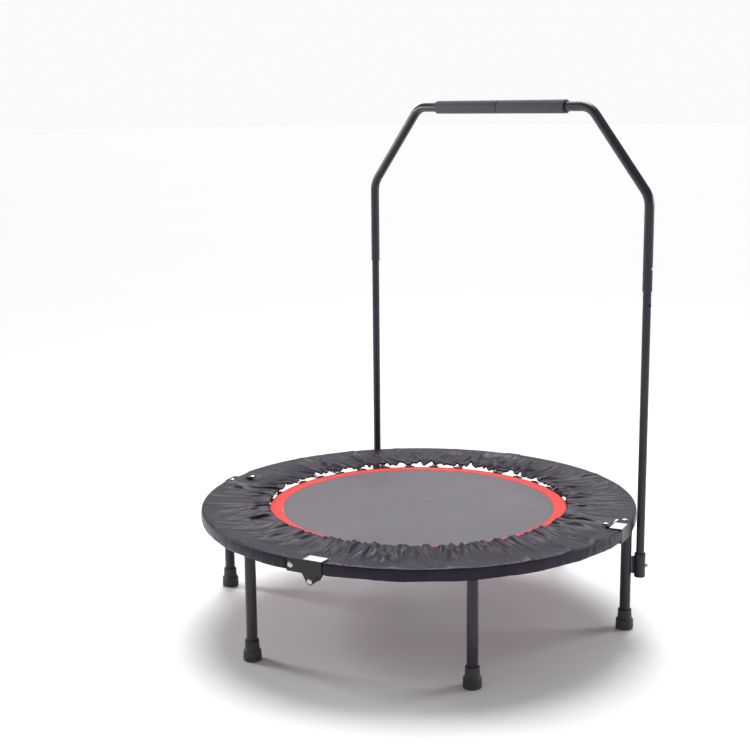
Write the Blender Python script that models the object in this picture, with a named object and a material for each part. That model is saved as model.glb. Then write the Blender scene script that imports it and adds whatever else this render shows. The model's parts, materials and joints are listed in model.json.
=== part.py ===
"""Round folding mini trampoline with a two-post handle.

Four 90 degree arcs of square tube make the ring.  Two hinges with level pins lie on one
diameter, and the ring folds in half about it; the other two have upright pins.  The mat, its
border band, the springs and the cover are made in halves or quarters that meet at the hinges.
The row's frame stands on the floor under the ring's centre: +Z up, +Y towards the handle, and
+X to the right of a user who faces the handle.
"""

import math

import bmesh
import bpy
from mathutils import Matrix, Vector

# ---- driving dimensions, in metres and degrees -------------------------------------------
GAP = 0.0003                    # between solids that touch on the real object

RING_RADIUS = 0.4898            # centre line of the square tube
RING_HEIGHT = 0.2470
TUBE_SIDE = 0.025
TUBE_WALL = 0.0015
TUBE_CORNER = 0.0025
ARC_STEPS = 15                  # straight steps along a quarter of the ring
ARC_END = 0.35                  # degrees from a hinge's pin to the end of a tube

HINGES = {                      # name: (pin's angle, way its lobes point, way its bracket points)
    "right": (21, "inward", -1),
    "front": (111, "down", 1),
    "left": (201, "inward", -1),
    "rear": (291, "down", 1),
}
FOLD_ANGLE = 111                # the fold line runs through the front and rear pins
PIVOT_OFFSET = 0.0293           # from the tube's centre line to a hinge's pin
PIN_RADIUS = 0.0040
PIN_HOLE_RADIUS = 0.00435
PIN_HEAD_RADIUS = 0.0062
PIN_HEAD_LENGTH = 0.0025
RIVET_RADIUS = 0.0035
RIVET_HOLE_RADIUS = 0.00385
RIVET_HEAD_RADIUS = 0.0065
LUG_RADIUS = 0.0080
LUG_WIDTH = 0.016
LUG_STEPS = 6

BRACKET_LENGTH = 0.084
BRACKET_PLATE = 0.0020
BRACKET_INSIDE = 0.0284         # between its flanges, wide enough for the tube's curve
BRACKET_FLANGE = 0.0290
BRACKET_TO_PIN = 0.0135         # from the bracket's middle to its pin
BRACKET_TO_RIVET = -0.0325
LOBE_RADIUS = 0.0085
LOBE_FOOT = 0.019               # half the lobe's width where it leaves the flange
LOBE_STEPS = 5
LABEL_LENGTH = 0.044
LABEL_WIDTH = 0.028
LABEL_THICKNESS = 0.0004

LEGS = {
    "front_right": 30,
    "front": 90,
    "front_left": 150,
    "rear_left": 210,
    "rear": 270,
    "rear_right": 330,
}
LEG_RADIUS = 0.0120
LEG_WALL = 0.0012
LEG_PLUG = 0.010                # solid end that carries the stud
STUD_RADIUS = 0.0050
STUD_LENGTH = 0.014
STUD_HOLE_RADIUS = 0.0054
BOSS_RADIUS = 0.0090
BOSS_LENGTH = 0.0135
FOOT_RADIUS = 0.0200
FOOT_COLLAR_HEIGHT = 0.021
FOOT_SLEEVE_RADIUS = 0.0158
FOOT_HEIGHT = 0.045
FOOT_SOLE = 0.006

MAT_RADIUS = 0.3175
MAT_THICKNESS = 0.0016
MAT_HEIGHT = 0.2485             # its upper face
BAND_OUTER_RADIUS = 0.3500
BAND_THICKNESS = 0.0030
MAT_STEPS = 24
SPLIT = 0.0004                  # each half of the mat stands this far from the fold line

SPRINGS_PER_ARC = 8
SPRING_MARGIN = 9.0             # degrees from a hinge's pin to the nearest spring
SPRING_RADIUS = 0.0040
SPRING_SIDES = 6
SPRING_CLEARANCE = 0.0015       # from a spring's end to the tube
HOOP_SIDE = 0.0030

COVER_INNER_RADIUS = 0.3520
COVER_OUTER_RADIUS = 0.5065
COVER_TOP = 0.2622
COVER_HEM = 0.2350
COVER_THICKNESS = 0.0015
COVER_SPLIT = 0.06              # degrees from a hinge's pin to the end of a cover

POST_X = 0.4465
POST_Y = 0.2665
POST_RADIUS = 0.0095
POST_TOP = 0.8450
HANDLE_RADIUS = 0.0111
HANDLE_WALL = 0.0012
HANDLE_SLEEVE_END = 0.7700
HANDLE_SHOULDER = 0.9730        # where the upright and the slant would cross
HANDLE_TOP = 1.1660
HANDLE_BAR_HALF = 0.2770
HANDLE_BEND_RADIUS = 0.055
BEND_STEPS = 3
GRIP_HALF_SPAN = 0.2085
GRIP_RADIUS = 0.0155
GRIP_BORE = 0.0114
GRIP_SPLIT = 0.0008
BUTTON_HEIGHT = 0.8200
BUTTON_RADIUS = 0.0035
BUTTON_HOLE_RADIUS = 0.0039
BUTTON_PROUD = 0.0036
HEIGHT_STEP = 0.040             # pitch of the button holes down each post
HEIGHT_HOLES = 3
SOCKET_RADIUS = 0.0125
SOCKET_BORE = 0.0102
SOCKET_BOTTOM = 0.1225
SOCKET_TOP = 0.1775
SOCKET_FLOOR = 0.002
WEB_BOTTOM = 0.130
WEB_TOP = 0.170
WEB_THICKNESS = 0.004
SCREW_HEIGHT = 0.149
SCREW_RADIUS = 0.0025
SCREW_HEAD_RADIUS = 0.0050
SCREW_HEAD_LENGTH = 0.0050

ROUND_SIDES = 12

# ---- materials: colour, roughness, metallic ----------------------------------------------
FINISHES = {
    "frame_paint": ((0.030, 0.029, 0.034), 0.38, 0.0),
    "bracket_paint": ((0.022, 0.021, 0.025), 0.42, 0.0),
    "zinc": ((0.62, 0.62, 0.64), 0.32, 1.0),
    "label": ((0.86, 0.86, 0.84), 0.55, 0.0),
    "rubber": ((0.018, 0.018, 0.020), 0.70, 0.0),
    "foam": ((0.030, 0.030, 0.033), 0.85, 0.0),
    "mat_fabric": ((0.110, 0.105, 0.115), 0.60, 0.0),
    "band_fabric": ((0.90, 0.13, 0.11), 0.60, 0.0),
    "cover_fabric": ((0.045, 0.042, 0.055), 0.45, 0.0),
    "button_steel": ((0.70, 0.70, 0.72), 0.25, 1.0),
}


def clear_scene():
    for thing in list(bpy.data.objects):
        bpy.data.objects.remove(thing, do_unlink=True)


def material(name):
    made = bpy.data.materials.get(name)
    if made:
        return made
    colour, roughness, metallic = FINISHES[name]
    made = bpy.data.materials.new(name)
    made.use_nodes = True
    shader = made.node_tree.nodes["Principled BSDF"]
    shader.inputs["Base Color"].default_value = (*colour, 1.0)
    shader.inputs["Roughness"].default_value = roughness
    shader.inputs["Metallic"].default_value = metallic
    return made


def add_object(name, shape, finish=None, origin=(0, 0, 0)):
    """A new object from a bmesh whose points are in world coordinates."""
    bmesh.ops.recalc_face_normals(shape, faces=shape.faces)
    mesh = bpy.data.meshes.new(name)
    shape.transform(Matrix.Translation(-Vector(origin)))
    shape.to_mesh(mesh)
    shape.free()
    made = bpy.data.objects.new(name, mesh)
    made.location = origin
    bpy.context.scene.collection.objects.link(made)
    if finish:
        mesh.materials.append(material(finish))
        mesh.shade_smooth()
        mesh.set_sharp_from_angle(angle=math.radians(35))
    return made


def add_boolean(target, operation, shape, label):
    """Cuts a shape from an object, or joins it on; the shape stays as a hidden guide."""
    guide = add_object(f"{target.name}_{label}", shape)
    guide.hide_render = True
    guide.display_type = "WIRE"
    modifier = target.modifiers.new(label, "BOOLEAN")
    modifier.operation = operation
    modifier.solver = "EXACT"
    modifier.object = guide


# ---- shapes ------------------------------------------------------------------------------
def bridge(shape, first, second):
    count = len(first)
    for i in range(count):
        j = (i + 1) % count
        shape.faces.new((first[i], first[j], second[j], second[i]))


def add_loft(shape, rings):
    """A solid through rings of points, with a face over each end."""
    loops = [[shape.verts.new(point) for point in ring] for ring in rings]
    for first, second in zip(loops, loops[1:]):
        bridge(shape, first, second)
    shape.faces.new(loops[0])
    shape.faces.new(loops[-1])


def add_pipe(shape, outer_rings, inner_rings):
    """A hollow through outer and inner rings, open at both ends."""
    outer = [[shape.verts.new(point) for point in ring] for ring in outer_rings]
    inner = [[shape.verts.new(point) for point in ring] for ring in inner_rings]
    for loops in (outer, inner):
        for first, second in zip(loops, loops[1:]):
            bridge(shape, first, second)
    bridge(shape, outer[0], inner[0])
    bridge(shape, outer[-1], inner[-1])


def circle(radius, sides=ROUND_SIDES):
    steps = [math.tau * (i + 0.5) / sides for i in range(sides)]
    return [(radius * math.cos(a), radius * math.sin(a)) for a in steps]


def add_turned(shape, profile, place, sides=ROUND_SIDES):
    """A solid turned about place's Z axis from (radius, height) points, closed on the axis."""
    loops = []
    for radius, height in profile:
        if radius == 0:
            loops.append([shape.verts.new(place @ Vector((0, 0, height)))])
        else:
            ring = [place @ Vector((x, y, height)) for x, y in circle(radius, sides)]
            loops.append([shape.verts.new(point) for point in ring])
    for first, second in zip(loops, loops[1:]):
        if len(first) == 1 or len(second) == 1:
            tip, ring = (first[0], second) if len(first) == 1 else (second[0], first)
            for i in range(sides):
                shape.faces.new((tip, ring[i], ring[(i + 1) % sides]))
        else:
            bridge(shape, first, second)
    return shape


def add_cylinder(shape, place, radius, low, high, sides=ROUND_SIDES):
    return add_turned(shape, [(0, low), (radius, low), (radius, high), (0, high)], place, sides)


def add_prism(shape, outline, place, low, high):
    """An outline in place's X and Z, given thickness along its Y from low to high."""
    rings = [[place @ Vector((x, y, z)) for x, z in outline] for y in (low, high)]
    add_loft(shape, rings)
    return shape


def rectangle(low_x, low_z, high_x, high_z):
    return [(low_x, low_z), (high_x, low_z), (high_x, high_z), (low_x, high_z)]


def radial(angle):
    turn = math.radians(angle)
    return Vector((math.cos(turn), math.sin(turn), 0))


def tangent(angle):
    turn = math.radians(angle)
    return Vector((-math.sin(turn), math.cos(turn), 0))


def polar_point(angle, radius, height):
    return radial(angle) * radius + Vector((0, 0, height))


def placed(origin, x_axis, y_axis, z_axis):
    axes = Matrix((x_axis, y_axis, z_axis)).transposed().to_4x4()
    return Matrix.Translation(origin) @ axes


def upright(origin):
    return Matrix.Translation(origin)


def along(origin, direction):
    """A place whose Z axis points along a direction."""
    return Matrix.Translation(origin) @ direction.to_track_quat("Z", "Y").to_matrix().to_4x4()


def swept_ring(profile, start, end, steps):
    """Rings of a (radius, height) profile at even steps of angle."""
    angles = [start + (end - start) * i / steps for i in range(steps + 1)]
    return [[polar_point(angle, r, z) for r, z in profile] for angle in angles]


# ---- hinges ------------------------------------------------------------------------------
def hinge_place(name, back=0.0):
    """A hinge's own axes: X towards its lug, Y along its pin, Z away from its lobes."""
    angle, way, toward = HINGES[name]
    here = angle - toward * math.degrees(back / RING_RADIUS)
    origin = polar_point(here, RING_RADIUS, RING_HEIGHT)
    outward = radial(here)
    up = Vector((0, 0, 1))
    if way == "down":
        return placed(origin, tangent(here) * toward, outward, up)
    return placed(origin, tangent(here) * toward, up, outward)


def pin_place(name):
    """The pin's middle, half way between the bracket's flanges, with Z along the pin."""
    place = hinge_place(name)
    axis = place.to_3x3() @ Vector((0, 1, 0))
    origin = place @ Vector((0, 0, -PIVOT_OFFSET))
    off_middle = (bracket_place(name).inverted() @ origin).y
    return along(origin - axis * off_middle, axis)


def bracket_place(name):
    """The bracket's middle; a channel over the tube sits half the tube's rise further in."""
    place = hinge_place(name, back=BRACKET_TO_PIN)
    if HINGES[name][1] == "down":
        rise = (BRACKET_LENGTH / 2) ** 2 / (2 * RING_RADIUS)
        place = place @ Matrix.Translation((0, -rise / 2, 0))
    return place


def rivet_place(name):
    place = bracket_place(name)
    origin = place @ Vector((BRACKET_TO_RIVET, 0, 0))
    return along(origin, place.to_3x3() @ Vector((0, 1, 0)))


def bracket_outline(name):
    """Side view of a bracket: a plain flange with a lobe round the pin."""
    top = TUBE_SIDE / 2 + GAP + BRACKET_PLATE
    low = top - BRACKET_FLANGE
    half = BRACKET_LENGTH / 2
    pin = bracket_place(name).inverted() @ pin_place(name).translation
    lobe = []
    for i in range(LOBE_STEPS + 1):
        turn = math.radians(-20 - 140 * i / LOBE_STEPS)
        lobe.append((pin.x + LOBE_RADIUS * math.cos(turn), pin.z + LOBE_RADIUS * math.sin(turn)))
    return (
        [(-half, top), (half, top), (half, low), (pin.x + LOBE_FOOT, low)]
        + lobe
        + [(pin.x - LOBE_FOOT, low), (-half, low)]
    )


def make_bracket(name):
    place = bracket_place(name)
    half_width = BRACKET_INSIDE / 2 + BRACKET_PLATE
    shape = add_prism(bmesh.new(), bracket_outline(name), place, -half_width, half_width)
    bracket = add_object(f"bracket_{name}", shape, "bracket_paint")
    reach = BRACKET_LENGTH
    under_web = TUBE_SIDE / 2 + GAP
    hollow = rectangle(-reach, -reach, reach, under_web)
    cutter = add_prism(bmesh.new(), hollow, place, -BRACKET_INSIDE / 2, BRACKET_INSIDE / 2)
    add_boolean(bracket, "DIFFERENCE", cutter, "hollow")
    holes = bmesh.new()
    add_cylinder(holes, pin_place(name), PIN_HOLE_RADIUS, -2 * half_width, 2 * half_width)
    add_cylinder(holes, rivet_place(name), RIVET_HOLE_RADIUS, -2 * half_width, 2 * half_width)
    add_boolean(bracket, "DIFFERENCE", holes, "holes")


def make_fastener(name, place, shank, head, finish):
    """A riveted pin: a shank through the bracket with a low domed head at each end."""
    grip = BRACKET_INSIDE / 2 + BRACKET_PLATE + 0.0005
    profile = [
        (0, -grip - PIN_HEAD_LENGTH),
        (head * 0.6, -grip - PIN_HEAD_LENGTH),
        (head, -grip - PIN_HEAD_LENGTH * 0.4),
        (head, -grip),
        (shank, -grip),
        (shank, grip),
        (head, grip),
        (head, grip + PIN_HEAD_LENGTH * 0.4),
        (head * 0.6, grip + PIN_HEAD_LENGTH),
        (0, grip + PIN_HEAD_LENGTH),
    ]
    add_object(name, add_turned(bmesh.new(), profile, place), finish, place.translation)


def make_label(name):
    """A blank warning plate on the upper face of a bracket, at its pin end."""
    _, way, _ = HINGES[name]
    place = bracket_place(name)
    high = BRACKET_LENGTH / 2 - 0.001
    if way == "down":
        low = TUBE_SIDE / 2 + 2 * GAP + BRACKET_PLATE
        outline = rectangle(high - LABEL_LENGTH, low, high, low + LABEL_THICKNESS)
        shape = add_prism(bmesh.new(), outline, place, -LABEL_WIDTH / 2, LABEL_WIDTH / 2)
    else:
        low = BRACKET_INSIDE / 2 + BRACKET_PLATE + GAP
        outer = TUBE_SIDE / 2 + BRACKET_PLATE
        outline = rectangle(high - LABEL_LENGTH, outer - LABEL_WIDTH, high, outer)
        shape = add_prism(bmesh.new(), outline, place, low, low + LABEL_THICKNESS)
    add_object(f"label_{name}", shape, "label")


def make_hinge(name):
    make_bracket(name)
    pin, rivet = pin_place(name), rivet_place(name)
    make_fastener(f"pivot_pin_{name}", pin, PIN_RADIUS, PIN_HEAD_RADIUS, "zinc")
    make_fastener(f"bracket_rivet_{name}", rivet, RIVET_RADIUS, RIVET_HEAD_RADIUS, "zinc")
    make_label(name)


# ---- ring --------------------------------------------------------------------------------
def tube_section(side, corner):
    """Section of the ring's tube as (radius, height) points, with cut corners."""
    half = side / 2
    short = half - corner
    corners = [(half, short), (short, half), (-short, half), (-half, short)]
    corners += [(-half, -short), (-short, -half), (short, -half), (half, -short)]
    return [(RING_RADIUS + x, RING_HEIGHT + z) for x, z in corners]


def add_lug(shape, name):
    """The plate on the other tube's end that turns on the hinge's pin."""
    _, _, toward = HINGES[name]
    place = hinge_place(name)
    weld = -TUBE_SIDE / 2 + TUBE_WALL / 2
    outline = [(0.0032, weld), (0.0032, -TUBE_SIDE / 2 - 0.001)]
    for i in range(LUG_STEPS + 1):
        turn = math.radians(100 + 250 * i / LUG_STEPS)
        outline.append(
            (LUG_RADIUS * math.cos(turn), -PIVOT_OFFSET + LUG_RADIUS * math.sin(turn))
        )
    outline.append((0.022, weld))
    add_prism(shape, outline, place, -LUG_WIDTH / 2, LUG_WIDTH / 2)


def make_arc(name, start, own_brackets, lugs):
    """A quarter of the ring, from one hinge's pin to the next."""
    low, high = start + ARC_END, start + 90 - ARC_END
    shape = bmesh.new()
    outer = swept_ring(tube_section(TUBE_SIDE, TUBE_CORNER), low, high, ARC_STEPS)
    inner_side = TUBE_SIDE - 2 * TUBE_WALL
    inner = swept_ring(tube_section(inner_side, TUBE_CORNER / 2), low, high, ARC_STEPS)
    add_pipe(shape, outer, inner)
    arc = add_object(name, shape, "frame_paint")

    added, holes = bmesh.new(), bmesh.new()
    under = RING_HEIGHT - TUBE_SIDE / 2
    for angle in LEGS.values():
        if low < angle < high or low < angle + 360 < high:
            place = upright(polar_point(angle, RING_RADIUS, 0))
            inside = under + TUBE_WALL / 2
            add_cylinder(added, place, BOSS_RADIUS, inside, under + BOSS_LENGTH)
            add_cylinder(holes, place, STUD_HOLE_RADIUS, under - 0.01, under + 0.02)
    for hinge in lugs:
        add_lug(added, hinge)
        reach = 2 * LUG_WIDTH
        add_cylinder(holes, pin_place(hinge), PIN_HOLE_RADIUS, -reach, reach)
    for hinge in own_brackets:
        add_cylinder(holes, rivet_place(hinge), RIVET_HOLE_RADIUS, -TUBE_SIDE, TUBE_SIDE)
    add_boolean(arc, "UNION", added, "welded")
    add_boolean(arc, "DIFFERENCE", holes, "holes")


# ---- legs --------------------------------------------------------------------------------
def make_leg(name, angle):
    foot_point = polar_point(angle, RING_RADIUS, 0)
    top = RING_HEIGHT - TUBE_SIDE / 2 - GAP
    bottom = FOOT_SOLE + GAP
    bore = LEG_RADIUS - LEG_WALL
    profile = [
        (0, top + STUD_LENGTH),
        (STUD_RADIUS, top + STUD_LENGTH),
        (STUD_RADIUS, top),
        (LEG_RADIUS, top),
        (LEG_RADIUS, bottom),
        (bore, bottom),
        (bore, top - LEG_PLUG),
        (0, top - LEG_PLUG),
    ]
    shape = add_turned(bmesh.new(), profile, upright(foot_point))
    add_object(f"leg_{name}", shape, "frame_paint", foot_point)


def make_foot(name, angle):
    """A rubber boot: a wide collar on the floor and a sleeve that grips the leg."""
    foot_point = polar_point(angle, RING_RADIUS, 0)
    bore = LEG_RADIUS + GAP
    profile = [
        (0, 0),
        (FOOT_RADIUS - 0.0015, 0),
        (FOOT_RADIUS, 0.0015),
        (FOOT_RADIUS, FOOT_COLLAR_HEIGHT - 0.002),
        (FOOT_RADIUS - 0.002, FOOT_COLLAR_HEIGHT),
        (FOOT_SLEEVE_RADIUS, FOOT_COLLAR_HEIGHT + 0.001),
        (FOOT_SLEEVE_RADIUS, FOOT_HEIGHT - 0.001),
        (FOOT_SLEEVE_RADIUS - 0.001, FOOT_HEIGHT),
        (bore, FOOT_HEIGHT),
        (bore, FOOT_SOLE),
        (0, FOOT_SOLE),
    ]
    shape = add_turned(bmesh.new(), profile, upright(foot_point))
    add_object(f"foot_{name}", shape, "rubber", foot_point)


# ---- mat, band, springs and cover ----------------------------------------------------------
def make_mat_half(side, start):
    """Half of the woven mat and half of its border band, from the fold line round."""
    angles = [start + 180 * i / MAT_STEPS for i in range(MAT_STEPS + 1)]

    def arc(radius, height):
        """Points on a circle, with the ends moved along it to keep clear of the fold line."""
        margin = math.degrees(math.asin(SPLIT / radius))
        inside = [min(max(a, start + margin), start + 180 - margin) for a in angles]
        return [polar_point(a, radius, height) for a in inside]

    shape = bmesh.new()
    levels = (MAT_HEIGHT - MAT_THICKNESS, MAT_HEIGHT)
    add_loft(shape, [arc(MAT_RADIUS, z) for z in levels])
    add_object(f"mat_{side}", shape, "mat_fabric")

    shape = bmesh.new()
    inner_radius = MAT_RADIUS + GAP
    low = MAT_HEIGHT + 0.0006 - BAND_THICKNESS
    high = MAT_HEIGHT + 0.0006
    corners = [(BAND_OUTER_RADIUS, low), (BAND_OUTER_RADIUS, high)]
    corners += [(inner_radius, high), (inner_radius, low)]
    rows = [arc(radius, height) for radius, height in corners]
    add_loft(shape, [list(ring) for ring in zip(*rows)])
    add_object(f"mat_band_{side}", shape, "band_fabric")


def make_springs(name, start):
    """A quarter's springs: eight plain rods on a hoop at the band's edge."""
    hoop_in = BAND_OUTER_RADIUS + 0.002
    hoop_out = hoop_in + HOOP_SIDE
    middle = MAT_HEIGHT - 0.0005
    low, high = middle - HOOP_SIDE / 2, middle + HOOP_SIDE / 2
    profile = [(hoop_out, low), (hoop_out, high), (hoop_in, high), (hoop_in, low)]
    shape = bmesh.new()
    add_loft(shape, swept_ring(profile, start + 0.3, start + 89.7, ARC_STEPS))
    springs = add_object(name, shape, "zinc")
    rods = bmesh.new()
    reach = 90 - 2 * SPRING_MARGIN
    far = RING_RADIUS - TUBE_SIDE / 2 - SPRING_CLEARANCE
    for i in range(SPRINGS_PER_ARC):
        angle = start + SPRING_MARGIN + reach * i / (SPRINGS_PER_ARC - 1)
        near = (hoop_in + hoop_out) / 2
        place = along(polar_point(angle, near, middle), radial(angle))
        add_cylinder(rods, place, SPRING_RADIUS, 0, far - near, SPRING_SIDES)
    add_boolean(springs, "UNION", rods, "rods")


def cover_profile():
    """Section of the cover: over the springs and the tube, then down to the hem."""
    inside = COVER_OUTER_RADIUS - COVER_THICKNESS
    under = COVER_TOP - COVER_THICKNESS
    upper = [
        (COVER_INNER_RADIUS, COVER_TOP - 0.0035),
        (0.4050, COVER_TOP - 0.0015),
        (0.4700, COVER_TOP),
        (COVER_OUTER_RADIUS - 0.0070, COVER_TOP),
        (COVER_OUTER_RADIUS - 0.0020, COVER_TOP - 0.0020),
        (COVER_OUTER_RADIUS, COVER_TOP - 0.0070),
        (COVER_OUTER_RADIUS, COVER_HEM),
    ]
    lower = [
        (inside, COVER_HEM),
        (inside, COVER_TOP - 0.0070),
        (inside - 0.0015, under - 0.0015),
        (inside - 0.0055, under),
        (0.4700, under),
        (0.4050, under - 0.0015),
        (COVER_INNER_RADIUS, under - 0.0035),
    ]
    return upper + lower


def add_cutout(shape, name):
    """The room a cover leaves for a hinge's bracket."""
    angle, way, toward = HINGES[name]
    clearance = 0.4
    lug_end = math.degrees((BRACKET_LENGTH / 2 - BRACKET_TO_PIN) / RING_RADIUS) + clearance
    far_end = math.degrees((BRACKET_LENGTH / 2 + BRACKET_TO_PIN) / RING_RADIUS) + clearance
    low = angle - (far_end if toward > 0 else lug_end)
    high = angle + (lug_end if toward > 0 else far_end)
    outside = COVER_OUTER_RADIUS + 0.02
    floor, roof = COVER_HEM - 0.02, COVER_TOP + 0.02
    inner = RING_RADIUS - TUBE_SIDE / 2 - 0.009
    if way == "inward":
        inner = RING_RADIUS - PIVOT_OFFSET - LOBE_RADIUS - 0.004
    profile = [(outside, floor), (outside, roof), (inner, roof), (inner, floor)]
    add_loft(shape, swept_ring(profile, low, high, 3))


def make_cover(name, start, hinges):
    shape = bmesh.new()
    low, high = start + COVER_SPLIT, start + 90 - COVER_SPLIT
    add_loft(shape, swept_ring(cover_profile(), low, high, ARC_STEPS))
    cover = add_object(name, shape, "cover_fabric")
    for hinge in hinges:
        cutter = bmesh.new()
        add_cutout(cutter, hinge)
        add_boolean(cover, "DIFFERENCE", cutter, hinge)


# ---- handle ------------------------------------------------------------------------------
def rounded_path(corners, radius):
    """Points of a level-sided path in X and Z whose corners are arcs of one radius."""
    path = [Vector(corners[0])]
    for before, here, after in zip(corners, corners[1:], corners[2:]):
        here = Vector(here)
        arriving = (here - Vector(before)).normalized()
        leaving = (Vector(after) - here).normalized()
        turn = arriving.angle(leaving)
        start = here - arriving * radius * math.tan(turn / 2)
        side = (leaving - arriving * arriving.dot(leaving)).normalized()
        centre = start + side * radius
        for i in range(BEND_STEPS + 1):
            swing = turn * i / BEND_STEPS
            step = -side * math.cos(swing) + arriving * math.sin(swing)
            path.append(centre + step * radius)
    path.append(Vector(corners[-1]))
    return path


def path_rings(path, radius, sides=ROUND_SIDES):
    """Rings of a round section along a path in X and Z, at the posts' Y."""
    rings = []
    for i, point in enumerate(path):
        before, after = path[max(i - 1, 0)], path[min(i + 1, len(path) - 1)]
        heading = (after - before).normalized()
        side = Vector((heading.y, -heading.x))
        ring = []
        for a, b in circle(radius, sides):
            x, z = point + side * a
            ring.append(Vector((x, POST_Y + b, z)))
        rings.append(ring)
    return rings


def make_handle_top():
    corners = [
        (POST_X, HANDLE_SLEEVE_END),
        (POST_X, HANDLE_SHOULDER),
        (HANDLE_BAR_HALF, HANDLE_TOP),
        (-HANDLE_BAR_HALF, HANDLE_TOP),
        (-POST_X, HANDLE_SHOULDER),
        (-POST_X, HANDLE_SLEEVE_END),
    ]
    path = rounded_path(corners, HANDLE_BEND_RADIUS)
    shape = bmesh.new()
    bore = HANDLE_RADIUS - HANDLE_WALL
    add_pipe(shape, path_rings(path, HANDLE_RADIUS), path_rings(path, bore))
    middle = (0, POST_Y, HANDLE_TOP)
    handle = add_object("handle_top", shape, "frame_paint", middle)
    holes = bmesh.new()
    for side in (1, -1):
        outward = Vector((side, 0, 0))
        place = along(Vector((side * POST_X, POST_Y, BUTTON_HEIGHT)), outward)
        add_cylinder(holes, place, BUTTON_HOLE_RADIUS, HANDLE_RADIUS * 0.5, HANDLE_RADIUS * 2)
    add_boolean(handle, "DIFFERENCE", holes, "holes")


def make_grip(name, side):
    """One half of the foam grip, a thick sleeve with rounded ends."""
    inner_end, outer_end = side * GRIP_SPLIT, side * GRIP_HALF_SPAN
    round_over = side * 0.003
    outer = [
        (inner_end, GRIP_RADIUS - 0.0015),
        (inner_end + round_over / 2, GRIP_RADIUS),
        (outer_end - round_over, GRIP_RADIUS),
        (outer_end, GRIP_RADIUS - 0.003),
    ]
    inner = [(x, GRIP_BORE) for x, _ in outer]

    def rings(profile):
        made = []
        for x, radius in profile:
            ring = [Vector((x, POST_Y + a, HANDLE_TOP + b)) for a, b in circle(radius)]
            made.append(ring)
        return made

    shape = bmesh.new()
    add_pipe(shape, rings(outer), rings(inner))
    middle = ((inner_end + outer_end) / 2, POST_Y, HANDLE_TOP)
    add_object(name, shape, "foam", middle)


def make_post(name, side):
    bottom = SOCKET_BOTTOM + SOCKET_FLOOR + GAP
    bore = POST_RADIUS - HANDLE_WALL
    axis = Vector((side * POST_X, POST_Y, 0))

    def rings(radius):
        made = []
        for height in (bottom, POST_TOP):
            ring = [axis + Vector((a, b, height)) for a, b in circle(radius)]
            made.append(ring)
        return made

    shape = bmesh.new()
    add_pipe(shape, rings(POST_RADIUS), rings(bore))
    post = add_object(name, shape, "frame_paint", axis)
    holes = bmesh.new()
    for i in range(HEIGHT_HOLES):
        height = BUTTON_HEIGHT - i * HEIGHT_STEP
        place = along(axis + Vector((0, 0, height)), Vector((side, 0, 0)))
        add_cylinder(holes, place, BUTTON_HOLE_RADIUS, POST_RADIUS * 0.5, POST_RADIUS * 2)
    add_boolean(post, "DIFFERENCE", holes, "holes")


def make_button(name, side):
    """A snap button: its stem fills the handle's hole, and its domed head stands proud."""
    origin = Vector((side * POST_X, POST_Y, BUTTON_HEIGHT))
    inner, outer = POST_RADIUS + GAP, HANDLE_RADIUS + BUTTON_PROUD
    profile = [
        (0, inner),
        (BUTTON_RADIUS, inner),
        (BUTTON_RADIUS, outer - 0.0018),
        (BUTTON_RADIUS * 0.8, outer - 0.0006),
        (BUTTON_RADIUS * 0.4, outer),
        (0, outer),
    ]
    shape = add_turned(bmesh.new(), profile, along(origin, Vector((side, 0, 0))))
    add_object(name, shape, "button_steel", origin)


def make_socket(side_name, side):
    """A cup for a post's foot, with the web plate that joins it to its leg."""
    axis = Vector((side * POST_X, POST_Y, 0))
    leg_axis = polar_point(LEGS[f"front_{side_name}"], RING_RADIUS, 0)
    profile = [
        (0, SOCKET_BOTTOM),
        (SOCKET_RADIUS, SOCKET_BOTTOM),
        (SOCKET_RADIUS, SOCKET_TOP),
        (SOCKET_BORE, SOCKET_TOP),
        (SOCKET_BORE, SOCKET_BOTTOM + SOCKET_FLOOR),
        (0, SOCKET_BOTTOM + SOCKET_FLOOR),
    ]
    shape = add_turned(bmesh.new(), profile, upright(axis))
    socket = add_object(f"handle_socket_{side_name}", shape, "frame_paint", leg_axis)
    toward_leg = (leg_axis - axis).normalized()
    across = Vector((-toward_leg.y, toward_leg.x, 0))
    place = placed(axis, toward_leg, across, Vector((0, 0, 1)))
    start = (SOCKET_RADIUS + SOCKET_BORE) / 2
    outline = rectangle(start, WEB_BOTTOM, (leg_axis - axis).length, WEB_TOP)
    half = WEB_THICKNESS / 2
    web = add_prism(bmesh.new(), outline, place, -half, half)
    add_boolean(socket, "UNION", web, "web")
    cuts = bmesh.new()
    add_cylinder(cuts, upright(leg_axis), LEG_RADIUS + GAP, 0.0, RING_HEIGHT)
    screw_hole = along(axis + Vector((0, 0, SCREW_HEIGHT)), -toward_leg)
    add_cylinder(cuts, screw_hole, SCREW_RADIUS + GAP, SOCKET_BORE * 0.5, SOCKET_RADIUS * 2)
    add_boolean(socket, "DIFFERENCE", cuts, "cuts")
    screw = [
        (0, POST_RADIUS + GAP),
        (SCREW_RADIUS, POST_RADIUS + GAP),
        (SCREW_RADIUS, SOCKET_RADIUS + GAP),
        (SCREW_HEAD_RADIUS, SOCKET_RADIUS + GAP),
        (SCREW_HEAD_RADIUS, SOCKET_RADIUS + SCREW_HEAD_LENGTH - 0.001),
        (SCREW_HEAD_RADIUS - 0.001, SOCKET_RADIUS + SCREW_HEAD_LENGTH),
        (0, SOCKET_RADIUS + SCREW_HEAD_LENGTH),
    ]
    shape = add_turned(bmesh.new(), screw, screw_hole)
    add_object(f"socket_screw_{side_name}", shape, "zinc", screw_hole.translation)


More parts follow.
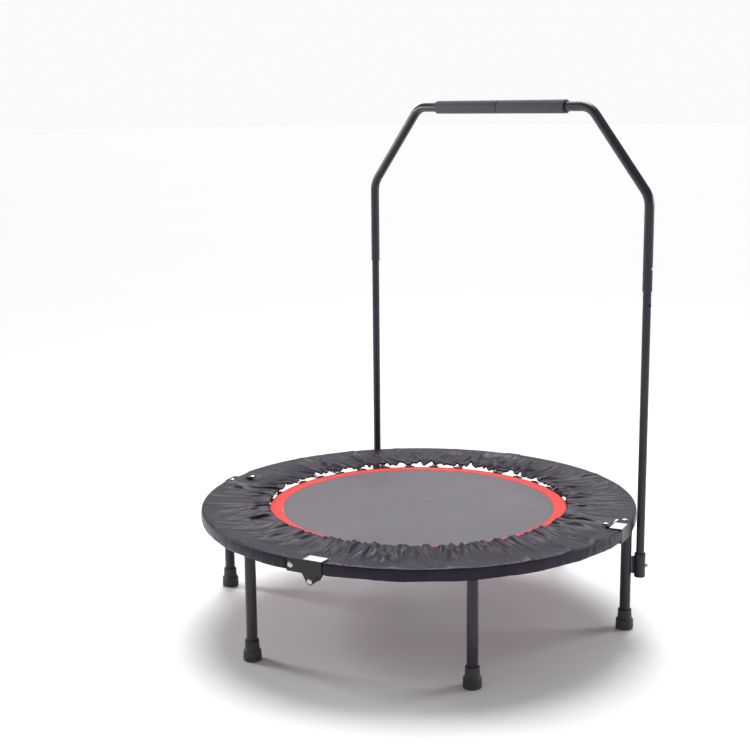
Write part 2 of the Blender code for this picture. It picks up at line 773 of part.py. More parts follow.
# ---- what moves together -------------------------------------------------------------------
def add_axis(name, place, pieces, parent=None):
    """An empty on a joint's axis; its pieces keep their places and move with it."""
    empty = bpy.data.objects.new(name, None)
    empty.matrix_world = place
    empty.empty_display_size = 0.05
    bpy.context.scene.collection.objects.link(empty)
    if parent:
        empty.parent = parent
        empty.matrix_parent_inverse = parent.matrix_basis.inverted()
    for piece in pieces:
        child = bpy.data.objects[piece]
        child.parent = empty
        child.matrix_parent_inverse = place.inverted()
    return empty


def group_moving_pieces():
    fold_height = RING_HEIGHT - PIVOT_OFFSET
    fold_place = along(Vector((0, 0, fold_height)), radial(FOLD_ANGLE))
    folding = ["mat_right", "mat_band_right"]
    for quarter in ("front_right", "rear_right"):
        folding += [f"frame_arc_{quarter}", f"cover_{quarter}", f"springs_{quarter}"]
    for hinge in ("right", "front"):
        kinds = ("bracket", "pivot_pin", "bracket_rivet", "label")
        folding += [f"{kind}_{hinge}" for kind in kinds]
    for leg in ("front_right", "front", "rear_right"):
        folding += [f"leg_{leg}", f"foot_{leg}"]
    folding += ["handle_socket_right", "socket_screw_right"]
    add_axis("half_fold_axis", fold_place, folding)

    posts = ["handle_post_left", "handle_post_right"]
    lift = add_axis("handle_lift_axis", upright((0, POST_Y, POST_TOP)), posts)
    top = ["handle_top", "grip_left", "grip_right", "snap_button_left", "snap_button_right"]
    add_axis("handle_height_axis", upright((0, POST_Y, HANDLE_TOP)), top, lift)


# ---- the whole trampoline ------------------------------------------------------------------
def main():
    clear_scene()
    make_arc("frame_arc_front_right", 21, ("right", "front"), ())
    make_arc("frame_arc_front_left", 111, (), ("front", "left"))
    make_arc("frame_arc_rear_left", 201, ("left", "rear"), ())
    make_arc("frame_arc_rear_right", 291, (), ("rear", "right"))
    for name in HINGES:
        make_hinge(name)
    for name, angle in LEGS.items():
        make_leg(name, angle)
        make_foot(name, angle)
    make_mat_half("left", FOLD_ANGLE)
    make_mat_half("right", FOLD_ANGLE + 180)
    quarters = ("front_right", "front_left", "rear_left", "rear_right")
    hinge_names = list(HINGES)
    for i, quarter in enumerate(quarters):
        start = HINGES[hinge_names[i]][0]
        neighbours = (hinge_names[i], hinge_names[(i + 1) % 4])
        make_springs(f"springs_{quarter}", start)
        make_cover(f"cover_{quarter}", start, neighbours)
    make_handle_top()
    for side_name, side in (("right", 1), ("left", -1)):
        make_grip(f"grip_{side_name}", side)
        make_post(f"handle_post_{side_name}", side)
        make_button(f"snap_button_{side_name}", side)
        make_socket(side_name, side)
    group_moving_pieces()


main()
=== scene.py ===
"""Looks for a folding mini trampoline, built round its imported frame.

The frame gives every place: the mounts say where the legs stand, the fold joint says where the
hinges are, and each node's box and radii say how far a visible piece reaches.  Round parts are
turned or swept again with more steps, the springs become coils, and the cover is gathered cloth.
"""

import json
import math
import random

import bmesh
import bpy
import numpy as np
from mathutils import Matrix, Vector


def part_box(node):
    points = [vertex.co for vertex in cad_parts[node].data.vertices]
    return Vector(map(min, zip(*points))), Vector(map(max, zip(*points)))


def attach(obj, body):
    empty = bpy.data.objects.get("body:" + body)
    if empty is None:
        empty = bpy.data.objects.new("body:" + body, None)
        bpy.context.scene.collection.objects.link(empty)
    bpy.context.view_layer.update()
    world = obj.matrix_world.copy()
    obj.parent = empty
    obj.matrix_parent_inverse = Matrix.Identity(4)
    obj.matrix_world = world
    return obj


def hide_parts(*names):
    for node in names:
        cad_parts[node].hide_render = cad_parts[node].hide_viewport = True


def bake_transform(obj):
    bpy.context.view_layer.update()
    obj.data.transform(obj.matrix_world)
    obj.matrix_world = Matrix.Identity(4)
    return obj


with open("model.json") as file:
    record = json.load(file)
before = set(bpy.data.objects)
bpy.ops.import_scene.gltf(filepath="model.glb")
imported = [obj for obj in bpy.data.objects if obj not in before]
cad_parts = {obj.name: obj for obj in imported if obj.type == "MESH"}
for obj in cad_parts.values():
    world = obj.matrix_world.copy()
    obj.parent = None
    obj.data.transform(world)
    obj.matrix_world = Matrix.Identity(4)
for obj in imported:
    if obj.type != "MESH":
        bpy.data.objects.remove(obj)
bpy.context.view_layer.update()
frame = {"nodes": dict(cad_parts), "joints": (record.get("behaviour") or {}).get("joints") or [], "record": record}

# ---- places read from the frame ----------------------------------------------------------
NODES = frame["nodes"]
MOUNTS = {m["name"]: Vector(m["pos_m"]) for m in frame["record"]["mounts"]}
FOLD = next(j for j in frame["joints"] if j["name"] == "half_fold")
FOLD_ANGLE = math.degrees(math.atan2(FOLD["axis"][1], FOLD["axis"][0]))
PIVOT_HEIGHT = FOLD["pos_m"][2]
HINGES = {
    "right": FOLD_ANGLE - 90,
    "front": FOLD_ANGLE,
    "left": FOLD_ANGLE + 90,
    "rear": FOLD_ANGLE + 180,
}
QUARTERS = {
    "front_right": "right",
    "front_left": "front",
    "rear_left": "left",
    "rear_right": "rear",
}
HINGE_BODY = {
    "right": "frame_right",
    "front": "frame_right",
    "left": "frame_left",
    "rear": "frame_left",
}
DOWN_HINGES = ("front", "rear")
LUGS = {"front_left": ("front", "left"), "rear_right": ("rear", "right")}
RING_RADIUS = MOUNTS["foot_front_sole"].length


def points_of(name):
    return np.array([v.co for v in NODES[name].data.vertices], float)


def radii_of(name):
    """The nearest and farthest that a node comes to the ring's axis."""
    away = np.hypot(*points_of(name)[:, :2].T)
    return float(away.min()), float(away.max())


def width_of(name):
    low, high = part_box(name)
    return high - low


TUBE_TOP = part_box("frame_arc_front_right")[1].z
MAT_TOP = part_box("mat_left")[1].z
MAT_RADIUS = radii_of("mat_left")[1]
BAND_RADIUS = radii_of("mat_band_left")[1]
BAND_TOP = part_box("mat_band_left")[1].z
COVER_IN, COVER_OUT = radii_of("cover_front_left")
COVER_HEM, COVER_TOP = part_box("cover_front_left")[0].z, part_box("cover_front_left")[1].z
POST = {s: sum(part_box(f"handle_post_{s}"), Vector()) / 2 for s in ("left", "right")}
POST_RADIUS = width_of("handle_post_right").y / 2
HANDLE_RADIUS = width_of("handle_top").y / 2
HANDLE_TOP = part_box("handle_top")[1].z - HANDLE_RADIUS
SLEEVE_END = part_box("handle_top")[0].z
BUTTON_HEIGHT = (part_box("snap_button_right")[0].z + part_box("snap_button_right")[1].z) / 2

# ---- sizes of the fine detail, in metres and degrees -------------------------------------
TUBE_SIDE = 0.025
TUBE_WALL = 0.0015
TUBE_CORNER = 0.0035
ARC_END = 0.35
LUG_RADIUS = 0.0080
LUG_WIDTH = 0.016
LEG_RADIUS = 0.0120
STUD_RADIUS = 0.0050
BOSS_RADIUS = 0.0090
BOOT_RADIUS = 0.0200
BOOT_SLEEVE = 0.0158
BOOT_COLLAR = 0.021
BOOT_HEIGHT = 0.045
SHOULDER_HEIGHT = 0.9730
BAR_HALF = 0.2770
BEND_RADIUS = 0.055
GRIP_RADIUS = 0.0155
TUBE_GAUGE = 0.0012
PLATE_MARGIN = 0.0022
PLATE_GAP = 0.0006              # from the label's outer edge to the web plate's back
PLATE_THICKNESS = 0.0005
PLATE_BEVEL = 0.0001
AXIS_GAP = 1e-5                 # the least radius of a turned ring, so that it stays a ring
HOLE_RADIUS = 0.0039
HOLE_PITCH = 0.040
HOLES = 3
SPRINGS_PER_ARC = 8
SPRING_MARGIN = 9.0
SPRING_HEIGHT = MAT_TOP - 0.0010
COIL_RADIUS = 0.0055
WIRE_RADIUS = 0.0011
COIL_START = 0.3800
COIL_END = 0.4560
RING_WIRE = 0.0013
RING_TIP = 0.3725
TAB_HALF = 0.0110
MAT_THICKNESS = 0.0016
BAND_OVERLAP = 0.0012
SOLE = 0.006


# ---- mesh helpers ------------------------------------------------------------------------
def radial(angle):
    turn = math.radians(angle)
    return Vector((math.cos(turn), math.sin(turn), 0))


def tangent(angle):
    return radial(angle + 90)


def polar_point(angle, radius, height):
    return radial(angle) * radius + Vector((0, 0, height))


def placed(origin, x_axis, y_axis, z_axis):
    return Matrix.Translation(origin) @ Matrix((x_axis, y_axis, z_axis)).transposed().to_4x4()


def along(origin, direction):
    return Matrix.Translation(origin) @ direction.to_track_quat("Z", "Y").to_matrix().to_4x4()


def circle(radius, sides):
    steps = [math.tau * i / sides for i in range(sides)]
    return [(radius * math.cos(a), radius * math.sin(a)) for a in steps]


def fillet(points, radius, steps=4):
    """Rounds the inner corners of an open line of 2-D points."""
    line = [Vector(points[0])]
    for before, here, after in zip(points, points[1:], points[2:]):
        here = Vector(here)
        back, ahead = Vector(before) - here, Vector(after) - here
        reach = min(radius, 0.45 * back.length, 0.45 * ahead.length)
        start, end = here + back.normalized() * reach, here + ahead.normalized() * reach
        for i in range(steps + 1):
            t = i / steps
            line.append(start * (1 - t) ** 2 + here * 2 * t * (1 - t) + end * t * t)
    line.append(Vector(points[-1]))
    return line


def add_loops(shape, rings, closed=False):
    """Quads between rings of points; closed joins the last ring to the first."""
    loops = [[shape.verts.new(point) for point in ring] for ring in rings]
    pairs = list(zip(loops, loops[1:]))
    if closed:
        pairs.append((loops[-1], loops[0]))
    for first, second in pairs:
        count = len(first)
        for i in range(count):
            j = (i + 1) % count
            shape.faces.new((first[i], first[j], second[j], second[i]))
    return loops


def add_loft(shape, rings):
    loops = add_loops(shape, rings)
    shape.faces.new(loops[0])
    shape.faces.new(loops[-1])


def add_pipe(shape, outer, inner):
    add_loops(shape, list(outer) + list(reversed(list(inner))), closed=True)


def turned(profile, place, sides, outline=circle):
    """Rings about place's Z axis from (radius, height) points."""
    return [[place @ Vector((x, y, z)) for x, y in outline(r, sides)] for r, z in profile]


def swept(section, angles):
    """A section of (radius, height) points, repeated at angles round the ring."""
    return [[polar_point(angle, r, z) for r, z in section] for angle in angles]


def add_turned(shape, profile, place, sides=48):
    """A solid turned about place's Z axis from (radius, height) points, closed at both ends."""
    add_loft(shape, turned([(max(r, AXIS_GAP), z) for r, z in profile], place, sides))


def add_prism(shape, outline, place, low, high, bevel=0.0008):
    """An outline in place's X and Z with thickness along Y, its long edges eased."""
    centre = sum((Vector(p) for p in outline), Vector((0, 0))) / len(outline)
    rings = []
    for y, inset in ((low, bevel), (low + bevel, 0), (high - bevel, 0), (high, bevel)):
        ring = []
        for point in outline:
            offset = Vector(point) - centre
            moved = centre + offset * (1 - inset / offset.length)
            ring.append(place @ Vector((moved.x, y, moved.y)))
        rings.append(ring)
    add_loft(shape, rings)


def add_wire(shape, path, radius, sides=6):
    """A round wire along a path of points."""
    rings = []
    normal = None
    for i, point in enumerate(path):
        heading = (path[min(i + 1, len(path) - 1)] - path[max(i - 1, 0)]).normalized()
        if normal is None:
            normal = heading.orthogonal().normalized()
        normal = (normal - heading * normal.dot(heading)).normalized()
        across = heading.cross(normal)
        rings.append([point + normal * a + across * b for a, b in circle(radius, sides)])
    add_loft(shape, rings)


def add_object(name, data):
    """An object in the scene from a bmesh, which is used up, or from a light or camera."""
    if isinstance(data, bmesh.types.BMesh):
        mesh = bpy.data.meshes.new(name)
        data.to_mesh(mesh)
        data.free()
        data = mesh
    made = bpy.data.objects.new(name, data)
    bpy.context.scene.collection.objects.link(made)
    return made


def smooth(piece, sharp=40):
    piece.data.shade_smooth()
    piece.data.set_sharp_from_angle(angle=math.radians(sharp))


def declare(piece, body, nodes):
    """Says which body a piece rides on, which CAD nodes it stands for."""
    if body:
        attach(piece, body)
    if nodes:
        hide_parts(*nodes)


def finish_piece(name, shape, finish, body, nodes=(), sharp=40):
    """A named object from a bmesh, painted, riding on a body and standing for its CAD nodes."""
    bmesh.ops.recalc_face_normals(shape, faces=shape.faces)
    piece = add_object(name, shape)
    smooth(piece, sharp)
    piece.data.materials.append(finish)
    declare(piece, body, nodes)
    return piece


def cut(piece, shape):
    """Cuts a shape from a piece and keeps the result as plain mesh."""
    bmesh.ops.recalc_face_normals(shape, faces=shape.faces)
    cutter = add_object("cutter", shape)
    modifier = piece.modifiers.new("cut", "BOOLEAN")
    modifier.operation = "DIFFERENCE"
    modifier.solver = "EXACT"
    modifier.object = cutter
    apply_modifiers(piece)
    bpy.data.objects.remove(cutter)


def apply_modifiers(piece):
    bpy.context.view_layer.update()
    graph = bpy.context.evaluated_depsgraph_get()
    made = bpy.data.meshes.new_from_object(piece.evaluated_get(graph), depsgraph=graph)
    piece.modifiers.clear()
    piece.data = made


# ---- materials ---------------------------------------------------------------------------
class Paint:
    """A small builder for node materials on one Principled BSDF."""

    def __init__(self, name, colour, roughness, metallic=0.0):
        self.material = bpy.data.materials.new(name)
        self.material.use_nodes = True
        self.tree = self.material.node_tree
        self.shader = self.tree.nodes["Principled BSDF"]
        self.set("Base Color", (*colour, 1))
        self.set("Roughness", roughness)
        self.set("Metallic", metallic)
        self.place = self.node("ShaderNodeTexCoord").outputs["Object"]
        self.last_bump = None

    def set(self, socket, value):
        self.shader.inputs[socket].default_value = value

    def node(self, kind, **values):
        """A new node with constants on its own sockets, named with _ for a space."""
        made = self.tree.nodes.new(kind)
        for socket, value in values.items():
            made.inputs[socket.replace("_", " ")].default_value = value
        return made

    def link(self, source, target):
        self.tree.links.new(source, target)

    def noise(self, scale, detail=3.0, rough=0.55, stretch=None, unwrapped=False):
        made = self.node("ShaderNodeTexNoise", Scale=scale, Detail=detail, Roughness=rough)
        source = self.node("ShaderNodeTexCoord").outputs["UV"] if unwrapped else self.place
        if stretch:
            mapping = self.node("ShaderNodeMapping", Scale=stretch)
            self.link(source, mapping.inputs["Vector"])
            source = mapping.outputs["Vector"]
        self.link(source, made.inputs["Vector"])
        return made.outputs["Fac"]

    def math(self, operation, first, second=None):
        made = self.node("ShaderNodeMath")
        made.operation = operation
        for i, value in enumerate((first, second)):
            if isinstance(value, (int, float)):
                made.inputs[i].default_value = value
            elif value is not None:
                self.link(value, made.inputs[i])
        return made.outputs["Value"]

    def spread(self, value, low, high, start=0.0, end=1.0):
        ends = {"From_Min": start, "From_Max": end, "To_Min": low, "To_Max": high}
        made = self.node("ShaderNodeMapRange", **ends)
        self.link(value, made.inputs["Value"])
        return made.outputs["Result"]

    def colour(self, value, *stops):
        """Base colour from a value, through (position, colour) stops."""
        ramp = self.node("ShaderNodeValToRGB")
        elements = ramp.color_ramp.elements
        while len(elements) < len(stops):
            elements.new(0.5)
        for element, (position, shade) in zip(elements, stops):
            element.position = position
            element.color = (*shade, 1)
        self.link(value, ramp.inputs["Fac"])
        self.link(ramp.outputs["Color"], self.shader.inputs["Base Color"])

    def roughness(self, value, low, high):
        self.link(self.spread(value, low, high), self.shader.inputs["Roughness"])

    def bump(self, value, distance, strength=1.0):
        made = self.node("ShaderNodeBump", Distance=distance, Strength=strength)
        self.link(value, made.inputs["Height"])
        if self.last_bump:
            self.link(self.last_bump, made.inputs["Normal"])
        self.last_bump = made.outputs["Normal"]
        self.link(self.last_bump, self.shader.inputs["Normal"])

    def uv_waves(self, across, along_it):
        """Threads both ways from the UV map, which is in metres: two sine waves."""
        split = self.node("ShaderNodeSeparateXYZ")
        self.link(self.node("ShaderNodeTexCoord").outputs["UV"], split.inputs["Vector"])
        waves = []
        for axis, pitch in (("X", across), ("Y", along_it)):
            turns = self.math("MULTIPLY", split.outputs[axis], math.pi / pitch)
            waves.append(self.math("SINE", turns))
        return waves


def powder_coat(name, colour):
    """Satin powder coat: fine orange peel and faint cloudiness."""
    paint = Paint(name, colour, 0.4)
    cloud = paint.noise(9, 4)
    light = tuple(min(1, c * 1.35 + 0.002) for c in colour)
    paint.colour(cloud, (0.35, colour), (0.7, light))
    paint.roughness(paint.noise(60, 3), 0.26, 0.40)
    paint.set("Specular IOR Level", 0.38)
    paint.bump(paint.noise(900, 2), 0.00012, 0.5)
    paint.bump(paint.noise(160, 2), 0.0002, 0.25)
    return paint.material


def zinc_plate():
    """Zinc plated steel: streaked grey with a rough and bright patchwork."""
    paint = Paint("zinc", (0.55, 0.55, 0.57), 0.32, 1.0)
    streaks = paint.noise(120, 4, stretch=(1, 1, 4))
    paint.colour(streaks, (0.3, (0.40, 0.40, 0.42)), (0.75, (0.66, 0.66, 0.67)))
    paint.roughness(paint.noise(300, 3), 0.22, 0.42)
    paint.bump(paint.noise(700, 2), 0.00008, 0.4)
    return paint.material


def polished_steel():
    paint = Paint("button_steel", (0.70, 0.70, 0.72), 0.2, 1.0)
    scuffs = paint.noise(800, 4, stretch=(1, 4, 1))
    paint.colour(scuffs, (0.3, (0.62, 0.62, 0.64)), (0.7, (0.78, 0.78, 0.80)))
    paint.roughness(scuffs, 0.14, 0.30)
    return paint.material


def blank_label():
    """A pale printed plate with nothing on it but a faint mottle."""
    paint = Paint("label", (0.86, 0.86, 0.84), 0.5)
    paint.colour(paint.noise(70, 3), (0.3, (0.74, 0.74, 0.73)), (0.7, (0.84, 0.84, 0.83)))
    paint.roughness(paint.noise(200, 3), 0.35, 0.55)
    paint.bump(paint.noise(500, 2), 0.00008, 0.4)
    return paint.material


def moulded_rubber():
    paint = Paint("rubber", (0.018, 0.018, 0.020), 0.7)
    paint.colour(paint.noise(30, 4), (0.35, (0.034, 0.031, 0.037)), (0.7, (0.056, 0.052, 0.060)))
    paint.roughness(paint.noise(140, 3), 0.55, 0.78)
    paint.bump(paint.noise(1100, 3), 0.00018, 0.6)
    return paint.material


def grip_foam():
    """Closed-cell foam: small pores in a soft matte skin, the pores painted darker as shade."""
    paint = Paint("foam", (0.030, 0.030, 0.033), 0.85)
    cells = paint.node("ShaderNodeTexVoronoi", Scale=650)
    paint.link(paint.place, cells.inputs["Vector"])
    pores = paint.spread(cells.outputs["Distance"], 0.0, 1.0, 0.05, 0.5)
    # The pores' middles, which the bump sinks, are painted darker: painted shade in the pores.
    paint.colour(pores, (0.0, (0.040, 0.036, 0.044)), (0.5, (0.066, 0.060, 0.072)))
    paint.roughness(paint.noise(40, 3), 0.62, 0.80)
    paint.bump(pores, 0.0003, 0.5)
    paint.bump(paint.noise(45, 3), 0.0006, 0.35)
    return paint.material


def woven_mat():
    """Tightly woven flat yarn: a plain weave of shiny tapes, grey with a slight purple."""
    paint = Paint("mat_fabric", (0.15, 0.14, 0.155), 0.5)
    warp, weft = paint.uv_waves(0.0016, 0.0016)
    over = paint.math("MULTIPLY", warp, weft)
    cloud = paint.noise(6, 4)
    # The weave's crossings, which the bump raises, lift the colour and its dips lower it: painted shade in the
    # weave, added to a random cloud of tone.
    tone_and_weave_shade = paint.math("ADD", paint.math("MULTIPLY", over, 0.10), cloud)
    paint.colour(tone_and_weave_shade, (0.3, (0.070, 0.058, 0.078)), (0.75, (0.095, 0.080, 0.104)))
    paint.roughness(paint.noise(25, 3), 0.36, 0.50)
    paint.bump(over, 0.00030, 0.7)
    paint.set("Sheen Weight", 0.10)
    paint.set("Sheen Roughness", 0.4)
    return paint.material


def webbing(name, dark, light):
    """Woven tape: ribs across it and a fine twill along it."""
    paint = Paint(name, light, 0.62)
    ribs, rows = paint.uv_waves(0.0022, 0.0014)
    weave = paint.math("MULTIPLY", ribs, rows)
    # The ribs' crossings, which the bump raises, are painted lighter and the dips darker: painted shade in the
    # weave, added to a random cloud of tone.
    tone_and_weave_shade = paint.math("ADD", paint.math("MULTIPLY", weave, 0.22), paint.noise(20, 4))
    paint.colour(tone_and_weave_shade, (0.25, dark), (0.75, light))
    paint.roughness(paint.noise(60, 3), 0.52, 0.72)
    paint.bump(weave, 0.00035, 0.7)
    paint.set("Specular IOR Level", 0.25)
    return paint.material


def coated_cloth():
    """Thin coated nylon: near black with a purple cast, fine threads and a satin gloss."""
    paint = Paint("cover_fabric", (0.026, 0.021, 0.034), 0.36)
    warp, weft = paint.uv_waves(0.0011, 0.0011)
    threads = paint.math("MULTIPLY", warp, weft)
    cloud = paint.noise(14, 5)
    paint.colour(cloud, (0.3, (0.017, 0.0135, 0.0230)), (0.75, (0.030, 0.0245, 0.0385)))
    paint.roughness(paint.noise(35, 4), 0.28, 0.42)
    creases = paint.noise(42, 4, 0.55, stretch=(2.2, 0.45, 1), unwrapped=True)
    paint.bump(creases, 0.0045, 0.55)
    paint.bump(paint.noise(70, 4, 0.6), 0.0016, 0.4)
    paint.bump(threads, 0.00012, 0.5)
    paint.set("Specular IOR Level", 0.17)
    paint.set("Specular Tint", (0.95, 0.86, 1.0, 1))
    return paint.material


FRAME_PAINT = powder_coat("frame_paint", (0.024, 0.0205, 0.029))
BRACKET_PAINT = powder_coat("bracket_paint", (0.011, 0.010, 0.015))
ZINC = zinc_plate()
STEEL = polished_steel()
LABEL = blank_label()
RUBBER = moulded_rubber()
FOAM = grip_foam()
MAT_CLOTH = woven_mat()
BAND_CLOTH = webbing("band_fabric", (0.84, 0.060, 0.050), (0.96, 0.086, 0.072))
TAB_CLOTH = webbing("tab_fabric", (0.012, 0.012, 0.014), (0.030, 0.029, 0.034))
THREAD = webbing("band_thread", (0.52, 0.030, 0.026), (0.66, 0.046, 0.040))
COVER_CLOTH = coated_cloth()


# ---- ring and hinges ---------------------------------------------------------------------
def tube_section(side, corner):
    """Points of a square tube's section with rounded corners, as offsets out and up."""
    half = side / 2
    centre = half - corner
    section = []
    for quadrant in range(4):
        sx, sz = ((1, 1), (-1, 1), (-1, -1), (1, -1))[quadrant]
        for i in range(5):
            turn = math.radians(90 * quadrant + 22.5 * i)
            x, z = corner * math.cos(turn), corner * math.sin(turn)
            section.append((sx * centre + x, sz * centre + z))
    return section


def hinge_place(name):
    """Origin on the ring, X towards the lug's tube, Y along the pin, Z away from the lobes."""
    angle = HINGES[name]
    origin = polar_point(angle, RING_RADIUS, TUBE_TOP - TUBE_SIDE / 2)
    up = Vector((0, 0, 1))
    if name in DOWN_HINGES:
        return placed(origin, tangent(angle), radial(angle), up)
    return placed(origin, -tangent(angle), up, radial(angle))


def add_lug(shape, name):
    place = hinge_place(name)
    face = -TUBE_SIDE / 2
    drop = PIVOT_HEIGHT - (TUBE_TOP - TUBE_SIDE / 2)
    outline = [(0.0032, face + 0.0008)]
    for i in range(17):
        turn = math.radians(100 + 250 * i / 16)
        outline.append((LUG_RADIUS * math.cos(turn), drop + LUG_RADIUS * math.sin(turn)))
    outline.append((0.022, face + 0.0008))
    add_prism(shape, outline, place, -LUG_WIDTH / 2, LUG_WIDTH / 2, 0.0005)


def make_ring_quarter(quarter, hinge):
    start = HINGES[hinge]
    steps = 72
    span = 90 - 2 * ARC_END
    angles = [start + ARC_END + span * i / steps for i in range(steps + 1)]
    height = TUBE_TOP - TUBE_SIDE / 2
    shape = bmesh.new()

    def rings(side, corner):
        section = [(RING_RADIUS + x, height + z) for x, z in tube_section(side, corner)]
        return swept(section, angles)

    inside = rings(TUBE_SIDE - 2 * TUBE_WALL, TUBE_CORNER / 2)
    add_pipe(shape, rings(TUBE_SIDE, TUBE_CORNER), inside)
    under = TUBE_TOP - TUBE_SIDE
    for foot in MOUNTS.values():
        angle = math.degrees(math.atan2(foot.y, foot.x)) % 360
        if start < angle < start + 90 or start < angle + 360 < start + 90:
            weld = [(BOSS_RADIUS - 0.001, under - 0.0006), (BOSS_RADIUS + 0.0022, under - 0.0003)]
            weld += [(BOSS_RADIUS + 0.0026, under + 0.0012), (BOSS_RADIUS - 0.001, under + 0.0016)]
            add_turned(shape, fillet(weld, 0.0008), Matrix.Translation((foot.x, foot.y, -0.0001)))
    for lug in LUGS.get(quarter, ()):
        add_lug(shape, lug)
    body = "frame_" + quarter.split("_")[1]
    finish_piece(
        f"ring_tube_{quarter}", shape, FRAME_PAINT, body, [f"frame_arc_{quarter}"]
    )


def pin_place(node):
    """The middle of a pin or rivet, Z along it, and its half length."""
    points = points_of(node)
    middle = (points.min(0) + points.max(0)) / 2
    _, _, axes = np.linalg.svd(points - points.mean(0))
    axis = axes[0]
    reach = float(np.abs((points - middle) @ axis).max())
    centre = points.mean(0)
    return along(Vector(centre), Vector(axis)), reach


def make_fastener(node, head, body):
    """A riveted pin with a domed and slightly dished head at each end."""
    place, reach = pin_place(node)
    dome = 0.0025
    shank = head * 0.6
    side = [(0, reach - 0.0004), (head * 0.35, reach - 0.0002), (head * 0.7, reach - 0.0006)]
    side += [(head * 0.96, reach - dome * 0.55), (head, reach - dome), (shank, reach - dome)]
    upper = fillet(side, 0.0007, 3)
    lower = [(r, -z) for r, z in upper]
    shape = bmesh.new()
    add_turned(shape, lower + upper[::-1], place, 36)
    finish_piece(f"{node}_head", shape, ZINC, body, [node])


def dress_hinges():
    """Bracket plates keep their shape and get eased edges; fasteners are turned finely."""
    for name, body in HINGE_BODY.items():
        dress_node(f"bracket_{name}", BRACKET_PAINT, 0.0007, 3, 50)
        dress_node(f"label_{name}", LABEL, 0.00015, 2)
        make_fastener(f"pivot_pin_{name}", 0.0062, body)
        make_fastener(f"bracket_rivet_{name}", 0.0065, body)
        if name not in DOWN_HINGES:
            make_web_plate(name)


def make_web_plate(name):
    """A bright steel face on the outer web of a bracket, below its label."""
    corners = points_of(f"label_{name}")
    outermost = corners[np.argsort(np.hypot(corners[:, 0], corners[:, 1]))][-4:]
    middle = Vector(outermost.mean(axis=0))
    spread = outermost - outermost.mean(axis=0)
    farthest = spread[np.argmax(np.hypot(spread[:, 0], spread[:, 1]))]
    level = Vector((farthest[0], farthest[1], 0))
    half = level.length - PLATE_MARGIN
    level.normalize()
    outward = Vector((-level.y, level.x, 0))
    if outward.dot(middle) < 0:
        outward.negate()
    upright = level.cross(outward)
    place = placed(Vector((middle.x, middle.y, 0)), level, outward, upright)
    box_low, box_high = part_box(f"bracket_{name}")
    ends = (box_low.z + PLATE_MARGIN, box_high.z - PLATE_MARGIN)
    low, high = sorted(upright.z * z for z in ends)
    outline = [(-half, low), (half, low), (half, high), (-half, high)]
    shape = bmesh.new()
    add_prism(shape, outline, place, PLATE_GAP, PLATE_GAP + PLATE_THICKNESS, PLATE_BEVEL)
    finish_piece(f"web_plate_{name}", shape, ZINC, HINGE_BODY[name])


def dress_node(name, finish, width, segments, least_angle=30):
    """Keeps a CAD node's shape, eases its edges and paints it."""
    node = NODES[name]
    ease = node.modifiers.new("ease", "BEVEL")
    ease.width, ease.segments = width, segments
    ease.limit_method = "ANGLE"
    ease.angle_limit = math.radians(least_angle)
    node.data.materials.clear()
    node.data.materials.append(finish)


# ---- legs --------------------------------------------------------------------------------
def make_leg(name, foot):
    under = TUBE_TOP - TUBE_SIDE - 0.0003
    body = f"leg_{name}"
    place = Matrix.Translation((foot.x, foot.y, 0))
    shape = bmesh.new()
    profile = [(0, SOLE + 0.004), (LEG_RADIUS, SOLE + 0.004), (LEG_RADIUS, under - 0.0008)]
    profile += [(LEG_RADIUS - 0.0008, under), (STUD_RADIUS + 0.001, under)]
    profile += [(STUD_RADIUS, under + 0.001), (STUD_RADIUS, under + 0.0130)]
    profile += [(STUD_RADIUS - 0.001, under + 0.0139), (0, under + 0.0139)]
    add_turned(shape, fillet(profile, 0.0008, 3), place)
    finish_piece(f"leg_tube_{name}", shape, FRAME_PAINT, body, [body])

    shape = bmesh.new()
    bore = LEG_RADIUS + 0.0003
    boot = [
        (0, 0.0008),
        (BOOT_RADIUS * 0.55, 0.0008),
        (BOOT_RADIUS * 0.6, 0.0),
        (BOOT_RADIUS - 0.0005, 0.0),
        (BOOT_RADIUS, 0.004),
        (BOOT_RADIUS - 0.0003, BOOT_COLLAR * 0.55),
        (BOOT_RADIUS - 0.0010, BOOT_COLLAR * 0.60),
        (BOOT_RADIUS - 0.0004, BOOT_COLLAR * 0.66),
        (BOOT_RADIUS - 0.0006, BOOT_COLLAR),
        (BOOT_SLEEVE + 0.0012, BOOT_COLLAR + 0.0030),
        (BOOT_SLEEVE, BOOT_COLLAR + 0.0050),
        (BOOT_SLEEVE - 0.0006, BOOT_HEIGHT),
        (bore + 0.0002, BOOT_HEIGHT),
        (bore, BOOT_HEIGHT - 0.003),
        (bore, SOLE),
        (0, SOLE),
    ]
    add_turned(shape, fillet(boot, 0.0011, 4), place, 64)
    finish_piece(f"boot_{name}", shape, RUBBER, body, [f"foot_{name}"])


# ---- handle ------------------------------------------------------------------------------
def handle_path():
    """Centre line of the bent tube in X and Z, from one sleeve end to the other."""
    x = POST["right"].x
    corners = [(x, SLEEVE_END), (x, SHOULDER_HEIGHT), (BAR_HALF, HANDLE_TOP)]
    corners += [(-BAR_HALF, HANDLE_TOP), (-x, SHOULDER_HEIGHT), (-x, SLEEVE_END)]
    path = [Vector(corners[0])]
    steps = 14
    for before, here, after in zip(corners, corners[1:], corners[2:]):
        here = Vector(here)
        arriving = (here - Vector(before)).normalized()
        leaving = (Vector(after) - here).normalized()
        turn = arriving.angle(leaving)
        start = here - arriving * BEND_RADIUS * math.tan(turn / 2)
        side = (leaving - arriving * arriving.dot(leaving)).normalized()
        centre = start + side * BEND_RADIUS
        for i in range(steps + 1):
            swing = turn * i / steps
            spoke = arriving * math.sin(swing) - side * math.cos(swing)
            path.append(centre + spoke * BEND_RADIUS)
    path.append(Vector(corners[-1]))
    return path


